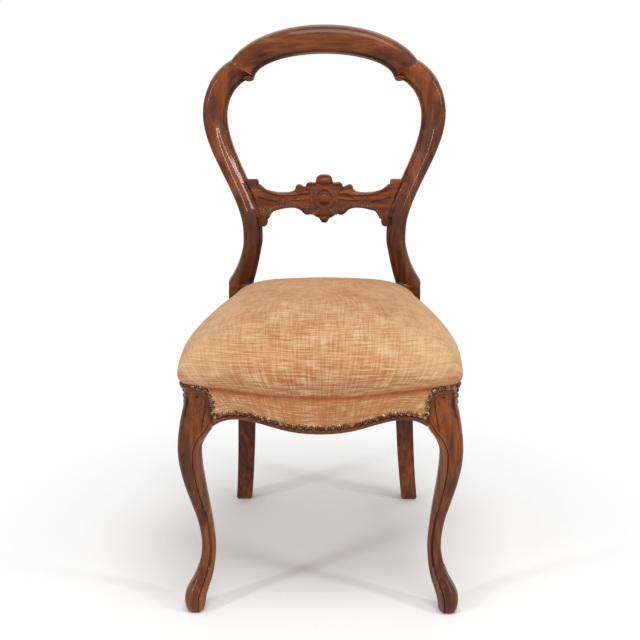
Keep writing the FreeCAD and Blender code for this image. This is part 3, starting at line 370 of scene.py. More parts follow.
def through(rows, share):
    """The place at a share from 0 to 1 on a smooth curve through rows of numbers."""
    reach = clamped(share) * (len(rows) - 1)
    i = min(int(reach), len(rows) - 2)
    f = reach - i
    near = [rows[max(i - 1, 0)], rows[i], rows[i + 1], rows[min(i + 2, len(rows) - 1)]]
    return [0.5 * (2 * b + (c - a) * f + (2 * a - 5 * b + 4 * c - d) * f * f
                   + (3 * b - a - 3 * c + d) * f ** 3)
            for a, b, c, d in zip(*near)]


def arc_points(start, middle, end, count):
    """Points on the circle through three points of a plane."""
    (ax, ay), (bx, by), (cx, cy) = start, middle, end
    d = 2 * (ax * (by - cy) + bx * (cy - ay) + cx * (ay - by))
    a2, b2, c2 = ax * ax + ay * ay, bx * bx + by * by, cx * cx + cy * cy
    x = (a2 * (by - cy) + b2 * (cy - ay) + c2 * (ay - by)) / d
    y = (a2 * (cx - bx) + b2 * (ax - cx) + c2 * (bx - ax)) / d
    radius = math.hypot(ax - x, ay - y)
    first = math.atan2(ay - y, ax - x)
    turn = (math.atan2(cy - y, cx - x) - first + math.pi) % (2 * math.pi) - math.pi
    return [(x + radius * math.cos(first + turn * i / count), y + radius * math.sin(first + turn * i / count))
            for i in range(count + 1)]


def finish_mesh(name, bm, material, replaced, sharp=40):
    """Makes the piece, smooth but for edges sharper than an angle, with its hollows stored."""
    for face in bm.faces:
        face.smooth = True
    for edge in bm.edges:
        edge.smooth = len(edge.link_faces) == 2 and edge.calc_face_angle(0) < math.radians(sharp)
    piece = mesh_object(name, bm)
    store_hollows(piece.data, sweep_gain)
    finish_piece(piece, material, "mahogany", replaced)


# %% [markdown]
# The balloon of the back is three pieces of wood, a crest and two stiles, with one moulding worked
# along their fronts: a rounded outer edge, a swelling band, a hollow, a sharp groove and a small bead.
# The section is drawn once as a closed line and carried along both edges of each piece.

# %% The moulded section
bead_width = 6.4
bead_depth = 9.0
edge_depth = 13.0
frame_depth = 29.0
arris = 4.0
lean_start_z = 450.0
lean_at_start = 0.155
lean_growth = 0.000105
post_front_y = 374.0


def frame_section(width, relief):
    """A closed line of (distance in from the outer edge, depth behind the front), in millimetres."""
    band = width - bead_width
    front = [(0.0, edge_depth), (0.35, 8.2), (0.05 * band, 4.6), (0.13 * band, 1.7),
             (0.27 * band, 0.1), (0.42 * band, 0.5), (0.58 * band, 2.9), (0.74 * band, 6.2),
             (0.88 * band, 8.6), (band, 10.6)]
    line = [tuple(through(front, i / 26)) for i in range(27)]
    line += arc_points((band + 0.3, 9.8), (band + 0.5 * bead_width, 5.0), (width, bead_depth), 10)
    line = [(s, depth * relief) for s, depth in line]
    line += [(width, mix(bead_depth * relief, frame_depth - arris, i / 4)) for i in range(1, 4)]
    turn = arris * (1 - math.sqrt(0.5))
    line += arc_points((width, frame_depth - arris), (width - turn, frame_depth - turn),
                       (width - arris, frame_depth), 4)
    line += [(mix(width - arris, arris, i / 6), frame_depth) for i in range(1, 6)]
    line += arc_points((arris, frame_depth), (turn, frame_depth - turn), (0, frame_depth - arris), 4)
    line += [(0, mix(frame_depth - arris, edge_depth * relief, i / 4)) for i in range(1, 5)]
    return line


section_steps = len(frame_section(40, 1)) - 1
print("points round the frame's section:", section_steps)


def lean_back(z):
    """How far behind the knees the front of the back stands at a height."""
    rise = max(0.0, z - lean_start_z)
    return post_front_y + lean_at_start * rise + lean_growth * rise * rise


def lean_slope(z):
    return lean_at_start + 2 * lean_growth * (z - lean_start_z) if z > lean_start_z else 0.0


def on_section(u, outer, inner, relief, front=None):
    """A point of the section between an outer and an inner edge. With no front given, it leans back."""
    width = math.hypot(outer[0] - inner[0], outer[1] - inner[1])
    section = frame_section(width, relief)
    reach = u * (len(section) - 1)
    i = min(int(reach + 1e-6), len(section) - 1)
    s, depth = section[i]
    across = s / width
    x = mix(outer[0], inner[0], across)
    z = mix(outer[1], inner[1], across)
    middle = (outer[1] + inner[1]) / 2
    slope = 0.0
    if front is None:
        front = lean_back(middle)
        slope = lean_slope(middle)
    return at(x, front + slope * (z - middle) + depth, z)


# %% [markdown]
# The edges of the balloon are a few circles and ellipses. The crest is part of one ellipse, and each
# stile swells out from its waist to its widest line and turns in again to meet the crest, with a small
# notch between them.

# %% Edges of the crest and stiles
def on_ellipse(centre_x, centre_z, a, b, degrees):
    angle = math.radians(degrees)
    return (centre_x + a * math.cos(angle), centre_z + b * math.sin(angle))


crest_centre_z = 800.0
crest_outer = (171.3, 88.0)
crest_inner = (121.0, 41.5)
shoulder_angles = (19.2, 3.0)
shoulder_outer = on_ellipse(0, crest_centre_z, *crest_outer, shoulder_angles[0])
shoulder_inner = on_ellipse(0, crest_centre_z, *crest_inner, shoulder_angles[1])


def crest_edges(share):
    """Outer and inner edge of the crest, from the right shoulder over the top to the left one."""
    turn = 2 * share if share <= 0.5 else 2 * (1 - share)
    side = 1 if share <= 0.5 else -1
    outer = on_ellipse(0, crest_centre_z, *crest_outer, mix(shoulder_angles[0], 90, turn))
    inner = on_ellipse(0, crest_centre_z, *crest_inner, mix(shoulder_angles[1], 90, turn))
    return (side * outer[0], outer[1]), (side * inner[0], inner[1])


block_outer_x = 168.8
block_inner_x = 125.0
block_low_z = 336.0
block_high_z = 438.0
waist_outer = (142.2, 532.0)
waist_inner = (108.2, 536.0)
widest_outer = (211.8, 741.0)
widest_inner = (169.3, 735.0)


def stile_rows():
    """Rows of outer x and z, inner x and z, and the moulding's relief, from block to shoulder."""
    rows = [(block_outer_x, block_high_z, block_inner_x, block_high_z, 0.0),
            (block_outer_x, 444.0, block_inner_x, 444.0, 0.5)]
    for h in (1.0, 0.82, 0.6, 0.35, 0.1):
        rows.append((mix(waist_outer[0], block_outer_x, h ** 2.05), mix(waist_outer[1], lean_start_z, h),
                     mix(waist_inner[0], block_inner_x, h ** 1.5), mix(waist_inner[1], lean_start_z, h), 1))
    for f in (0.12, 0.26, 0.4, 0.54, 0.68, 0.82, 0.94):
        g = f + 0.085 * math.sin(math.pi * f)
        rows.append((mix(waist_outer[0], widest_outer[0], smooth_step(f)),
                     mix(waist_outer[1], widest_outer[1], f),
                     mix(waist_inner[0], widest_inner[0], smooth_step(g)),
                     mix(waist_inner[1], widest_inner[1], g), 1))
    ends = []
    for (x, z), centre_x, a, start_z in ((shoulder_outer, 130.0, 81.8, widest_outer[1]),
                                         (shoulder_inner, 115.0, 54.3, widest_inner[1])):
        angle = math.degrees(math.acos((x - centre_x) / a))
        ends.append((centre_x, start_z, a, (z - start_z) / math.sin(math.radians(angle)), angle))
    for share in (0.1, 0.3, 0.5, 0.68, 0.84, 0.94, 1.0):
        points = [on_ellipse(cx, cz, a, b, share * angle) for cx, cz, a, b, angle in ends]
        rows.append((*points[0], *points[1], 1))
    return rows


# %% [markdown]
# Below the block each stile goes on as the back leg, square with its two back corners rounded, and
# rakes back to its foot. It is the same piece of wood, so the same sweep makes it, with the moulding's
# relief at nothing.

# %% Back legs, stiles and crest
leg_top_z = 338.0
leg_widths = (33.0, 28.5)
leg_middles = (140.9, 154.5)
foot_rake = 79.0
foot_edge = 5.0


def leg_rows():
    """Rows of outer x and z, inner x and z, and front, from the foot to the top of the back leg."""
    rows = []
    for z in (foot_edge, 20.0, 60.0, 110.0, 160.0, 210.0, 260.0, 300.0, 334.0):
        f = (leg_top_z - z) / leg_top_z
        half = mix(*leg_widths, f) / 2
        x = mix(*leg_middles, f ** 2.3)
        rows.append((x + half, z, x - half, z, post_front_y + foot_rake * f ** 1.7))
    return rows


def make_stile(side):
    mirror = 1 if side == "right" else -1
    bm = bmesh.new()
    upper = stile_rows()
    legs = leg_rows()
    foot_outer_x, _, foot_inner_x, _, foot_front = legs[0]
    foot_middle = at((foot_outer_x + foot_inner_x) / 2 * mirror, foot_front + 15.0, 0.0)

    def mirrored(p):
        return Vector((mirror * p.x, p.y, p.z))

    def on_stile(u, v):
        ox, oz, ix, iz, relief = through(upper, v)
        return mirrored(on_section(u, (ox, oz), (ix, iz), relief))

    def on_block(u, v):
        z = mix(block_low_z, block_high_z, v)
        return mirrored(on_section(u, (block_outer_x, z), (block_inner_x, z), 0.0, post_front_y))

    def on_leg(u, v):
        ox, oz, ix, iz, front = through(legs, v)
        return mirrored(on_section(u, (ox, oz), (ix, iz), 0.0, front))

    def on_foot(u, v):
        p = on_leg(u, 0.0)
        shrink = mix(0.8, 1.0, v)
        return Vector((mix(foot_middle.x, p.x, shrink), mix(foot_middle.y, p.y, shrink),
                       foot_edge * mm * v))

    moved_grid(bm, section_steps, 150, on_stile)
    moved_grid(bm, section_steps, 4, on_block)
    moved_grid(bm, section_steps, 50, on_leg)
    moved_grid(bm, section_steps, 1, on_foot)
    add_volute(bm, mirror)
    finish_mesh(f"moulded_stile_{side}", bm, upright_wood, f"back_leg_stile_{side}")


def make_crest():
    bm = bmesh.new()
    moved_grid(bm, section_steps, 140, lambda u, v: on_section(u, *crest_edges(v), 1.0))
    finish_mesh("moulded_crest", bm, crosswise_wood, "crest_rail")


# %% [markdown]
# Where the crest's bead meets the stile's it ends in a small scroll. It is a flattened egg with a
# spiral roll laid on its face.

# %% Scrolls at the shoulders
roll_sides = 10


def tube_along(bm, points, radii):
    """A round roll along a row of points, with its radii spread evenly along it."""
    def on_tube(u, v):
        centre = Vector(through(points, v))
        ahead = Vector(through(points, v + 0.02)) - Vector(through(points, v - 0.02))
        side = ahead.cross(Vector((0, 1, 0))).normalized()
        up = side.cross(ahead).normalized()
        radius = through([(r,) for r in radii], v)[0]
        angle = 2 * math.pi * u
        return centre + (side * math.cos(angle) + up * math.sin(angle)) * radius

    moved_grid(bm, roll_sides, 6 * len(points), on_tube)


def add_egg(bm, centre, sizes, turn=0.0):
    """A smooth egg with three half sizes, turned in the plane of the back."""
    shape = Matrix.Translation(centre) @ Matrix.Rotation(turn, 4, "Y") @ Matrix.Diagonal((*sizes, 1.0))
    bmesh.ops.create_uvsphere(bm, u_segments=24, v_segments=14, radius=1.0, matrix=shape)


def add_volute(bm, mirror):
    x = (shoulder_inner[0] + 11.0) * mirror
    z = shoulder_inner[1] - 2.6
    y = lean_back(z)
    add_egg(bm, at(x, y + 17.0, z), (9.6 * mm, 11.0 * mm, 5.6 * mm), math.radians(-8 * mirror))
    spiral = []
    for i in range(12):
        angle = math.radians(20 + 42 * i)
        reach = 7.6 * (1 - i / 13)
        spiral.append(at(x + mirror * reach * 1.15 * math.cos(angle), y + 6.8 + 0.25 * i,
                         z + reach * 0.62 * math.sin(angle)))
    tube_along(bm, spiral, [1.7 * mm, 1.5 * mm, 1.1 * mm])


for side in ("right", "left"):
    make_stile(side)
make_crest()

# %% [markdown]
# A cabriole front leg bends out at the knee and in at the ankle, and its section turns with the corner
# of the seat: two show faces meet at a rounded arris, each face ends in a fine groove and a bead, and
# the inner side falls away behind. Heights, reach and widths are one row for each level.

# %% Cabriole front legs
post_outer_x = 217.5
post_inner_x = 172.0
post_depth = 45.5
post_start_z = 318.0
post_clearance = 0.2
knee_depth = 43.5
shield_top_z = 393.0
shield_corner = 21
carving_start_z = 320


def leg_levels():
    """Rows of height, reach of the arris, width, share of the face before the bead, and roundness."""
    return [
        (0.6, 219.0, 22.5, 0.66, 0.40), (3.0, 221.0, 26.5, 0.66, 0.40), (11.5, 224.0, 31.8, 0.66, 0.40),
        (26.5, 225.0, 35.0, 0.66, 0.38), (39.0, 220.6, 34.4, 0.64, 0.34), (60.0, 208.4, 29.2, 0.62, 0.28),
        (85.0, 199.9, 24.7, 0.62, 0.26), (115.0, 196.3, 22.0, 0.62, 0.26), (155.6, 201.2, 23.4, 0.62, 0.26),
        (193.3, 210.9, 28.5, 0.62, 0.27), (228.0, 220.0, 33.0, 0.62, 0.28), (263.0, 226.6, 36.0, 0.63, 0.30),
        (289.0, 228.6, 37.8, 0.66, 0.32), (302.0, 228.3, 41.0, 0.69, 0.33), (312.0, 227.7, 46.2, 0.71, 0.34),
        (321.0, 226.7, 52.2, 0.74, 0.35), (328.0, 225.7, 55.0, 0.79, 0.36), (336.0, 224.4, 55.0, 0.84, 0.37),
        (348.0, 222.0, 55.0, 0.90, 0.38), (367.0, 218.8, 50.0, 0.94, 0.40), (386.0, 217.6, 48.0, 0.97, 0.42),
        (404.5, 217.5, 48.0, 0.97, 0.42),
    ]


def knee_carving(along, z):
    """Depth of the knee's carving: a groove inside the shield's edge, a sunk panel and a small scroll."""
    inset = min(knee_depth - along, shield_top_z - z)
    beside = max(knee_depth - along, shield_top_z - z)
    if inset < shield_corner and beside < shield_corner:
        inset = shield_corner - math.hypot(shield_corner - inset, shield_corner - beside)
    shown = smooth_step((z - 322) / 16)
    groove = 1.5 * math.exp(-((inset - 6.8) / 1.3) ** 2) * shown
    panel = 1.1 * smooth_step((inset - 8) / 6) * smooth_step((z - 346) / 22)
    eye = 2.0 * math.exp(-((along - 22) / 4.2) ** 2 - ((z - 382) / 3.0) ** 2)
    roll = -2.2 * math.exp(-((along - 14) / 3.4) ** 2 - ((z - 375.5 + 0.3 * (along - 14)) / 2.2) ** 2)
    lobe = -1.8 * math.exp(-((along - 26) / 2.6) ** 2 - ((z - 374) / 3.6) ** 2)
    return (groove + panel + eye + roll + lobe) * smooth_step(along / 6)


def half_section(width, flat, roundness):
    """Half of the leg's section, from the middle of the arris to the middle of the inner side."""
    corner = roundness * width
    middle = corner * (1 - math.sqrt(0.5))
    tip = flat * width
    fade = clamped((1 - flat) * 4)
    bead = 0.115 * width * fade
    groove = 1.5 * fade
    line = arc_points((middle, middle), (corner * 0.62, corner * 0.075), (corner, 0.0), 7)
    line += [(mix(corner, tip - 1.4, i / 14), 0.35 * fade * (i / 14) ** 2) for i in range(1, 15)]
    line += [(tip - 0.6, 0.35 * fade + 0.45 * groove), (tip, 0.3 + groove), (tip + 0.5, 0.3 + groove * 0.75)]
    line += arc_points((tip + 0.8, 0.3 + 0.5 * groove), (tip + 0.5 * bead + 0.8, 0.3 - 0.55 * fade),
                       (tip + bead + 0.8, 1.0 * fade + 0.5), 6)
    fall = mix(0.06, 0.44, fade) * width
    line += [(mix(tip + bead + 1.2, width, i / 4), mix(1.4 * fade + 0.6, fall, (i / 4) ** 0.8))
             for i in range(1, 5)]
    line += [(width, mix(fall, 0.9 * width, i / 3)) for i in range(1, 4)]
    line.append((0.97 * width, 0.97 * width))
    return line


leg_steps = 2 * (len(half_section(30, 0.62, 0.3)) - 1)


def make_front_leg(side):
    mirror = 1 if side == "right" else -1
    levels = leg_levels()

    def on_leg(u, v):
        z, reach, width, flat, roundness = through(levels, v)
        half = half_section(width, flat, roundness)
        i = round(u * leg_steps)
        count = len(half) - 1
        a, b = half[min(i, leg_steps - i)]
        if z > carving_start_z and a < width * flat:
            b += knee_carving(a, z)
        if i > count:
            a, b = b, a
        x = reach - a
        y = (post_outer_x - reach) + b
        if z > post_start_z:
            x = max(x, post_inner_x + post_clearance)
            y = min(y, post_depth - post_clearance)
        return at(mirror * x, y, z)

    bm = bmesh.new()
    moved_grid(bm, leg_steps, 300, on_leg)
    finish_mesh(f"carved_front_leg_{side}", bm, upright_wood, f"front_leg_{side}", sharp=60)


for side in ("right", "left"):
    make_front_leg(side)

# %% [markdown]
# The side rails, the front rail and the carved mid rail are the frame's own solids, wrapped in a skin.
# The mid rail carries the finest carving of the chair: an egg in a ring of small petals, lobes and leaf
# scrolls above and below it, square collars, and a raised roll along each edge of its arms.

# %% Rails under the seat
for side in ("right", "left"):
    carve(f"shaped_side_rail_{side}", f"side_seat_rail_{side}", lengthwise_wood, voxel=0.0016, rounds=3)
carve("shaped_front_rail", "front_seat_rail", crosswise_wood, voxel=0.0014, rounds=3)

# %% Carving of the mid rail
mid_rail_z = 592.0
mid_rail_recess = 5.0


def on_mid_rail(x, dz, depth):
    """A place on the front of the mid rail, dz above its middle line and depth behind its face."""
    return at(x, lean_back(mid_rail_z + dz) + mid_rail_recess + depth, mid_rail_z + dz)


def roll(bm, points, radius, end_radius, depth):
    """A carved roll through points of the rail's front, the same on the right and on the left."""
    for side in (1, -1):
        tube_along(bm, [on_mid_rail(side * x, dz, depth) for x, dz in points],
                   [radius * mm, radius * mm, end_radius * mm])


def egg(bm, x, dz, wide, high, deep, turn=0, depth=0.0):
    """A carved lobe, the same on the right and on the left unless it is in the middle."""
    for side in ((1, -1) if x else (1,)):
        add_egg(bm, on_mid_rail(side * x, dz, depth), (wide * mm, deep * mm, high * mm),
                math.radians(-turn * side))


def spiral(bm, x, dz, radius, turns, start, roll_radius):
    points = []
    for i in range(int(turns * 8) + 1):
        angle = math.radians(start + 45 * i)
        reach = radius * (1 - 0.8 * i / (turns * 8))
        points.append((x + reach * math.cos(angle), dz + reach * math.sin(angle)))
    roll(bm, points, roll_radius, roll_radius * 0.7, 0.4)


petals = 10
petal_ring = 16.4


def carve_mid_rail(bm):
    egg(bm, 0, 5, 8.2, 9.6, 6.6, depth=-1.6)
    for i in range(petals):
        angle = 2 * math.pi * (i + 0.5) / petals
        add_egg(bm, on_mid_rail(petal_ring * math.cos(angle), 5 + petal_ring * math.sin(angle), 0.8),
                (2.8 * mm, 3.2 * mm, 4.6 * mm), -angle)
    roll(bm, [(0, 44.8), (8, 43.6), (12.4, 38.5), (13, 32)], 2.1, 1.8, -0.6)
    egg(bm, 0, 34, 13.0, 7.0, 3.6, depth=0.6)
    roll(bm, [(15, 30.5), (22, 30.5), (29, 30), (31, 24), (26, 19)], 2.1, 1.6, -0.8)
    roll(bm, [(33, 16), (38, 24), (46, 25.5), (49, 20)], 2.4, 1.6, 1.6)
    roll(bm, [(27, 15), (38, 15.5), (50, 12.5), (62, 12.0), (74, 12.2), (88, 14.6), (102, 19.5),
              (112, 27)], 2.2, 2.5, -1.2)
    roll(bm, [(20, -22), (28, -15), (40, -9.5), (52, -8.2), (64, -8.4), (76, -9.4), (86, -12.5),
              (93, -18), (99, -29)], 2.2, 2.4, -1.2)
    egg(bm, 31, -17.5, 6.4, 4.6, 4.4, 20, 0.4)
    egg(bm, 39, -11.5, 4.0, 3.0, 3.4, 10, 0.6)
    roll(bm, [(66, -7.5), (66.3, 2), (66, 11.0)], 1.9, 1.9, -0.2)
    roll(bm, [(76, -8.0), (76.3, 2), (76, 12.0)], 1.9, 1.9, -0.2)
    roll(bm, [(24, 5), (36, 3.5), (48, 2.5), (60, 2)], 1.1, 0.7, 1.4)
    egg(bm, 0, -19, 15.0, 10.5, 4.0, depth=1.0)
    egg(bm, 0, -31, 6.0, 5.0, 3.4, depth=0.8)
    egg(bm, 12, -22, 6.5, 5.0, 3.2, depth=1.2)
    spiral(bm, 117, 27.5, 5.0, 1.2, 150, 1.5)
    roll(bm, [(114.5, -30), (119.5, -13), (127, 0), (134, 15), (141.5, 30)], 6.0, 6.0, 9.0)


carve("carved_mid_rail", "mid_rail", crosswise_wood, carve_mid_rail, voxel=0.00085, rounds=2, gain=0.0006)

# %% [markdown]
# The seat is a stuffed cushion under worn velvet. Its cloth is one flat grid, as the real cover is cut
# from one flat piece. Square rings of the grid become rings of the seat's outline: the inner ones climb
# the crown, and the outer ones go down the sides to the nails.

# %% Outline of the seat
seat_middle_y = 190.0
girth_z = 415.0
crown_z = 483.0
crown_share = 0.70
seat_front_y = -27.8
seat_back_y = 412.0
seat_half = 226.5
seat_corner = 20.0
front_corner_y = seat_front_y + 18.8


def seat_sides(rounding):
    """Front, right, back and left side of the outline, each a row of points between two corners."""
    cut = seat_corner * (1 - math.sqrt(0.5))
    front_end = (seat_half - seat_corner, front_corner_y)
    corner = (seat_half - cut, front_corner_y + cut)
    side_start = (seat_half, front_corner_y + seat_corner)
    side_end = (164.8 - 24 * rounding, 370.0 - 24 * rounding)
    back_corner = (158.8 - 38 * rounding, 403.0 - 24 * rounding)
    back_end = (125.0 - 42 * rounding, seat_back_y - 13 * rounding)
    side = [side_start]
    for along, taper in ((0.13, 0.004), (0.27, 0.045), (0.45, 0.195), (0.63, 0.41), (0.82, 0.68)):
        side.append((mix(side_start[0], side_end[0], taper), mix(side_start[1], side_end[1], along)))
    side.append(side_end)
    front = arc_points((-front_end[0], front_end[1]), (0, seat_front_y), front_end, 60)[30:]
    front_turn = arc_points(front_end, corner, side_start, 12)
    flank = [tuple(through(side, i / 60)) for i in range(61)]
    back_turn = arc_points(side_end, back_corner, back_end, 12)
    back = [(mix(back_end[0], 0, i / 12), mix(back_end[1], seat_back_y, math.sin(math.pi * i / 24)))
            for i in range(1, 13)]
    front_half = front[:-1] + front_turn[:7]
    right = front_turn[6:-1] + flank[:-1] + back_turn[:7]
    back_half = back_turn[6:] + back
    whole_front = [(-x, y) for x, y in reversed(front_half[1:])] + front_half
    whole_back = back_half + [(-x, y) for x, y in reversed(back_half[:-1])]
    left = [(-x, y) for x, y in reversed(right)]
    return [whole_front, right, whole_back, left]


def evenly_along(line, count):
    """Points at even distances along a row of points."""
    lengths = [0.0]
    for a, b in zip(line, line[1:]):
        lengths.append(lengths[-1] + math.dist(a, b))
    points = []
    i = 0
    for k in range(count + 1):
        reach = lengths[-1] * k / count
        while i < len(line) - 2 and lengths[i + 1] < reach:
            i += 1
        f = clamped((reach - lengths[i]) / max(lengths[i + 1] - lengths[i], 1e-9))
        points.append(tuple(mix(a, b, f) for a, b in zip(line[i], line[i + 1])))
    return points


def level(rows, value):
    """Reads a row of (value, result) pairs at a value."""
    for (v0, r0), (v1, r1) in zip(rows, rows[1:]):
        if value <= v1:
            return mix(r0, r1, clamped((value - v0) / (v1 - v0)))
    return rows[-1][1]


side_scales = [(320, 0.966), (335, 0.9665), (350, 0.9675), (361, 0.9692), (372, 0.9708),
               (380, 0.971), (388, 0.9707), (393, 0.9713), (397, 0.9735), (401, 0.979),
               (405, 0.986), (410, 0.994), (415, 1.0)]
front_edge = [(0, 335.8), (22, 336.6), (45.6, 339.5), (84.4, 349.4), (115.2, 356.6), (134, 357.7),
              (150, 355.1), (162.9, 349.6), (172, 344.2)]
side_edge = [(45.5, 341.2), (54.5, 347.9), (67.5, 353.1), (83.5, 355.7), (120.5, 351.7),
             (209.75, 344.5), (301.7, 348.5), (374, 354.7)]
edge_scale = 0.967
knee_inner_x = 171.5
knee_outer_y = knee_depth + 2.5
knee_arch_z = 375.0
knee_arch = 21.0
knee_top_z = 396.0
back_edge_y = 376
back_edge_z = 344.5
stile_corner = (124.7, 373.7)


def lower_edge(x, y):
    """Height of the cover's lower edge, which arches over each knee and dips in the middle."""
    x = abs(x)
    if y > back_edge_y:
        return back_edge_z
    if x > knee_inner_x and y < knee_outer_y:
        d = min(x - knee_inner_x, knee_outer_y - y)
        return knee_arch_z + math.sqrt(max(0.0, d * (2 * knee_arch - d))) if d < knee_arch else knee_top_z
    if y < 30 and x <= knee_inner_x:
        return level(front_edge, x)
    return level(side_edge, y)


def ring_place(ring, point):
    """A place on the seat for a share of the way out from the middle and a point of the outline."""
    x, y = point
    if ring <= crown_share:
        turn = ring / crown_share * math.pi / 2
        scale = math.sin(turn) ** 0.8
        z = mix(girth_z, crown_z, math.cos(turn) ** 0.77 if turn < 1.57 else 0.0)
    else:
        far = (ring - crown_share) / (1 - crown_share)
        low = lower_edge(x * edge_scale, seat_middle_y + (y - seat_middle_y) * edge_scale)
        z = mix(girth_z, low, far)
        scale = level(side_scales, z)
    x *= scale
    y = seat_middle_y + (y - seat_middle_y) * scale
    corner_x, corner_y = stile_corner
    past_x = abs(x) - corner_x
    past_y = y - corner_y
    if past_x > 0 and past_y > 0:
        if past_x < past_y:
            x = math.copysign(corner_x, x)
        else:
            y = corner_y
    return at(x, y, z)


# %% [markdown]
# Each side of the grid takes the points of one side of the outline, so the threads run straight over
# the top and down the front. The flat place of every thread is kept as UV, in metres, and the weave is
# drawn in it.

# %% The flat cloth laid over the seat
def outline_point(outline, ring, i, j):
    front, right, back, left = outline
    if -j == ring:
        return front[i + ring]
    if i == ring:
        return right[j + ring]
    if j == ring:
        return back[ring - i]
    return left[ring - j]


def lay_cloth(count):
    """A grid laid over the seat, each of its square rings on a ring of the outline."""
    bm = bmesh.new()
    bmesh.ops.create_grid(bm, x_segments=count, y_segments=count, size=1)
    half = count // 2
    steps = {vert: (round(vert.co.x * half), round(vert.co.y * half)) for vert in bm.verts}
    outlines = {}
    for ring in range(1, half + 1):
        share = ring / half
        rounding = math.cos(share / crown_share * math.pi / 2) ** 0.7 if share < crown_share else 0.0
        outlines[ring] = [evenly_along(side, 2 * ring) for side in seat_sides(rounding)]
    for vert, (i, j) in steps.items():
        ring = max(abs(i), abs(j))
        if ring == 0:
            vert.co = at(0, seat_middle_y, crown_z)
        else:
            point = outline_point(outlines[ring], ring, i, j)
            vert.co = ring_place(ring / half, point)
    front_line = {-j: vert.co for vert, (i, j) in steps.items() if i == 0 and j <= 0}
    reach_out = [0.0]
    for ring in range(half):
        reach_out.append(reach_out[-1] + (front_line[ring + 1] - front_line[ring]).length)
    uv = bm.loops.layers.uv.new("weave")
    for face in bm.faces:
        face.smooth = True
        for loop in face.loops:
            i, j = steps[loop.vert]
            ring = max(abs(i), abs(j), 1)
            loop[uv].uv = (i / ring * reach_out[ring], j / ring * reach_out[ring])
    bmesh.ops.recalc_face_normals(bm, faces=bm.faces)
    top = next(vert for vert, step in steps.items() if step == (0, 0))
    if top.normal.z < 0:
        bmesh.ops.reverse_faces(bm, faces=bm.faces)
    print("cloth of", count, "threads each way reaches", round(reach_out[-1], 3), "m from the middle")
    return mesh_object("velvet_seat", bm)


seat = lay_cloth(132)

# %% [markdown]
# The stuffing is sewn to a firm edge, and years of sitting press a crease above it. It sags in the
# middle of the front and climbs towards the knees. A shallow dent makes the crease. Its depth, and the
# border below it, are kept as attributes that colour the velvet with painted shade: a rust brown line in
# the crease and a darker orange on the border.

# %% The crease above the nails
def crease_height(x, y):
    x = abs(x)
    if y < 25:
        return level([(0, 386.5), (45, 387), (94, 390), (140, 395), (190, 400), (226, 402)], x)
    return level([(25, 402), (120, 399), (370, 398)], y)


crease_depth = 2.6
crease_width = 3.4
ripple_depth = 0.5


def press_crease(target):
    subdivide = target.modifiers.new("finer", "SUBSURF")
    subdivide.levels = 1
    subdivide.render_levels = 1
    apply_modifiers(target)
    mesh = target.data
    # The crease mask and the border mask carry painted shade into the velvet's colour.
    crease = mesh.attributes.new("crease", "FLOAT", "POINT")
    border = mesh.attributes.new("border", "FLOAT", "POINT")
    normals = [vert.normal.copy() for vert in mesh.vertices]
    moves = []
    creases = []
    borders = []
    for vert in mesh.vertices:
        x, y, z = (value / mm for value in (vert.co.x, vert.co.y - knee_y, vert.co.z))
        wander = noise.noise(Vector((x / 30, y / 30, 0.0))) * 1.6
        gap = z - crease_height(x, y) - wander
        dent = math.exp(-(gap / crease_width) ** 2)
        fade = 1.0 if y < 60 else 0.45
        if y > 365:
            fade = 0.0
        ripple = 0.4 * noise.noise(Vector((x / 9, y / 9, z / 26)))
        inward = crease_depth * dent * fade + ripple_depth * ripple * math.exp(-(gap / 22) ** 2)
        moves.append(normals[vert.index] * -inward * mm)
        creases.append(math.exp(-(gap / 5.5) ** 2) * fade)
        borders.append(smooth_step(-gap / 7))
    for vert, move in zip(mesh.vertices, moves):
        vert.co += move
    crease.data.foreach_set("value", creases)
    border.data.foreach_set("value", borders)
    for polygon in mesh.polygons:
        polygon.use_smooth = True


press_crease(seat)

# %% [markdown]
# Worn velvet. Painted sheen makes the shoulders pale and golden, and it is dark orange where it was
# rubbed low on the front. Fine uneven threads run across the seat, with weaker ones down it.

# %% Velvet
def position(finish, place, axis):
    return finish.node("ShaderNodeSeparateXYZ", {}, {"Vector": place}, output=axis)


velvet = Finish("worn_velvet", Roughness=0.9, Sheen_Weight=0.12, Sheen_Roughness=0.45,
                Specular_IOR_Level=0.12, Sheen_Tint=colour(240, 215, 180))
weave = velvet.coordinates("UV")
place = velvet.coordinates()
across = velvet.range(velvet.noise(weave, (24, 330, 1), detail=3, roughness=0.62), 0.34, 0.68)
down = velvet.range(velvet.noise(weave, (300, 15, 1), detail=3, roughness=0.6), 0.34, 0.68)
pile = velvet.noise(weave, (1500, 1500, 1), detail=1)
patches = velvet.range(velvet.noise(place, (9, 9, 14), detail=4, roughness=0.6), 0.32, 0.68)
small_patches = velvet.range(velvet.noise(place, (45, 45, 90), detail=3, roughness=0.65), 0.34, 0.7)
height = position(velvet, place, "Z")
side = position(velvet, place, "X")
depth = position(velvet, place, "Y")
away = velvet.node("ShaderNodeMath", {"operation": "ABSOLUTE"}, {0: side})
low_front = velvet.range(height, 0.478, 0.405) * velvet.range(depth, knee_y + 0.16, knee_y + 0.02)
rubbed = (low_front * velvet.range(away, 0.19, 0.03)
          * velvet.range(patches * 0.6 + small_patches * 0.4, 0.2, 0.75))
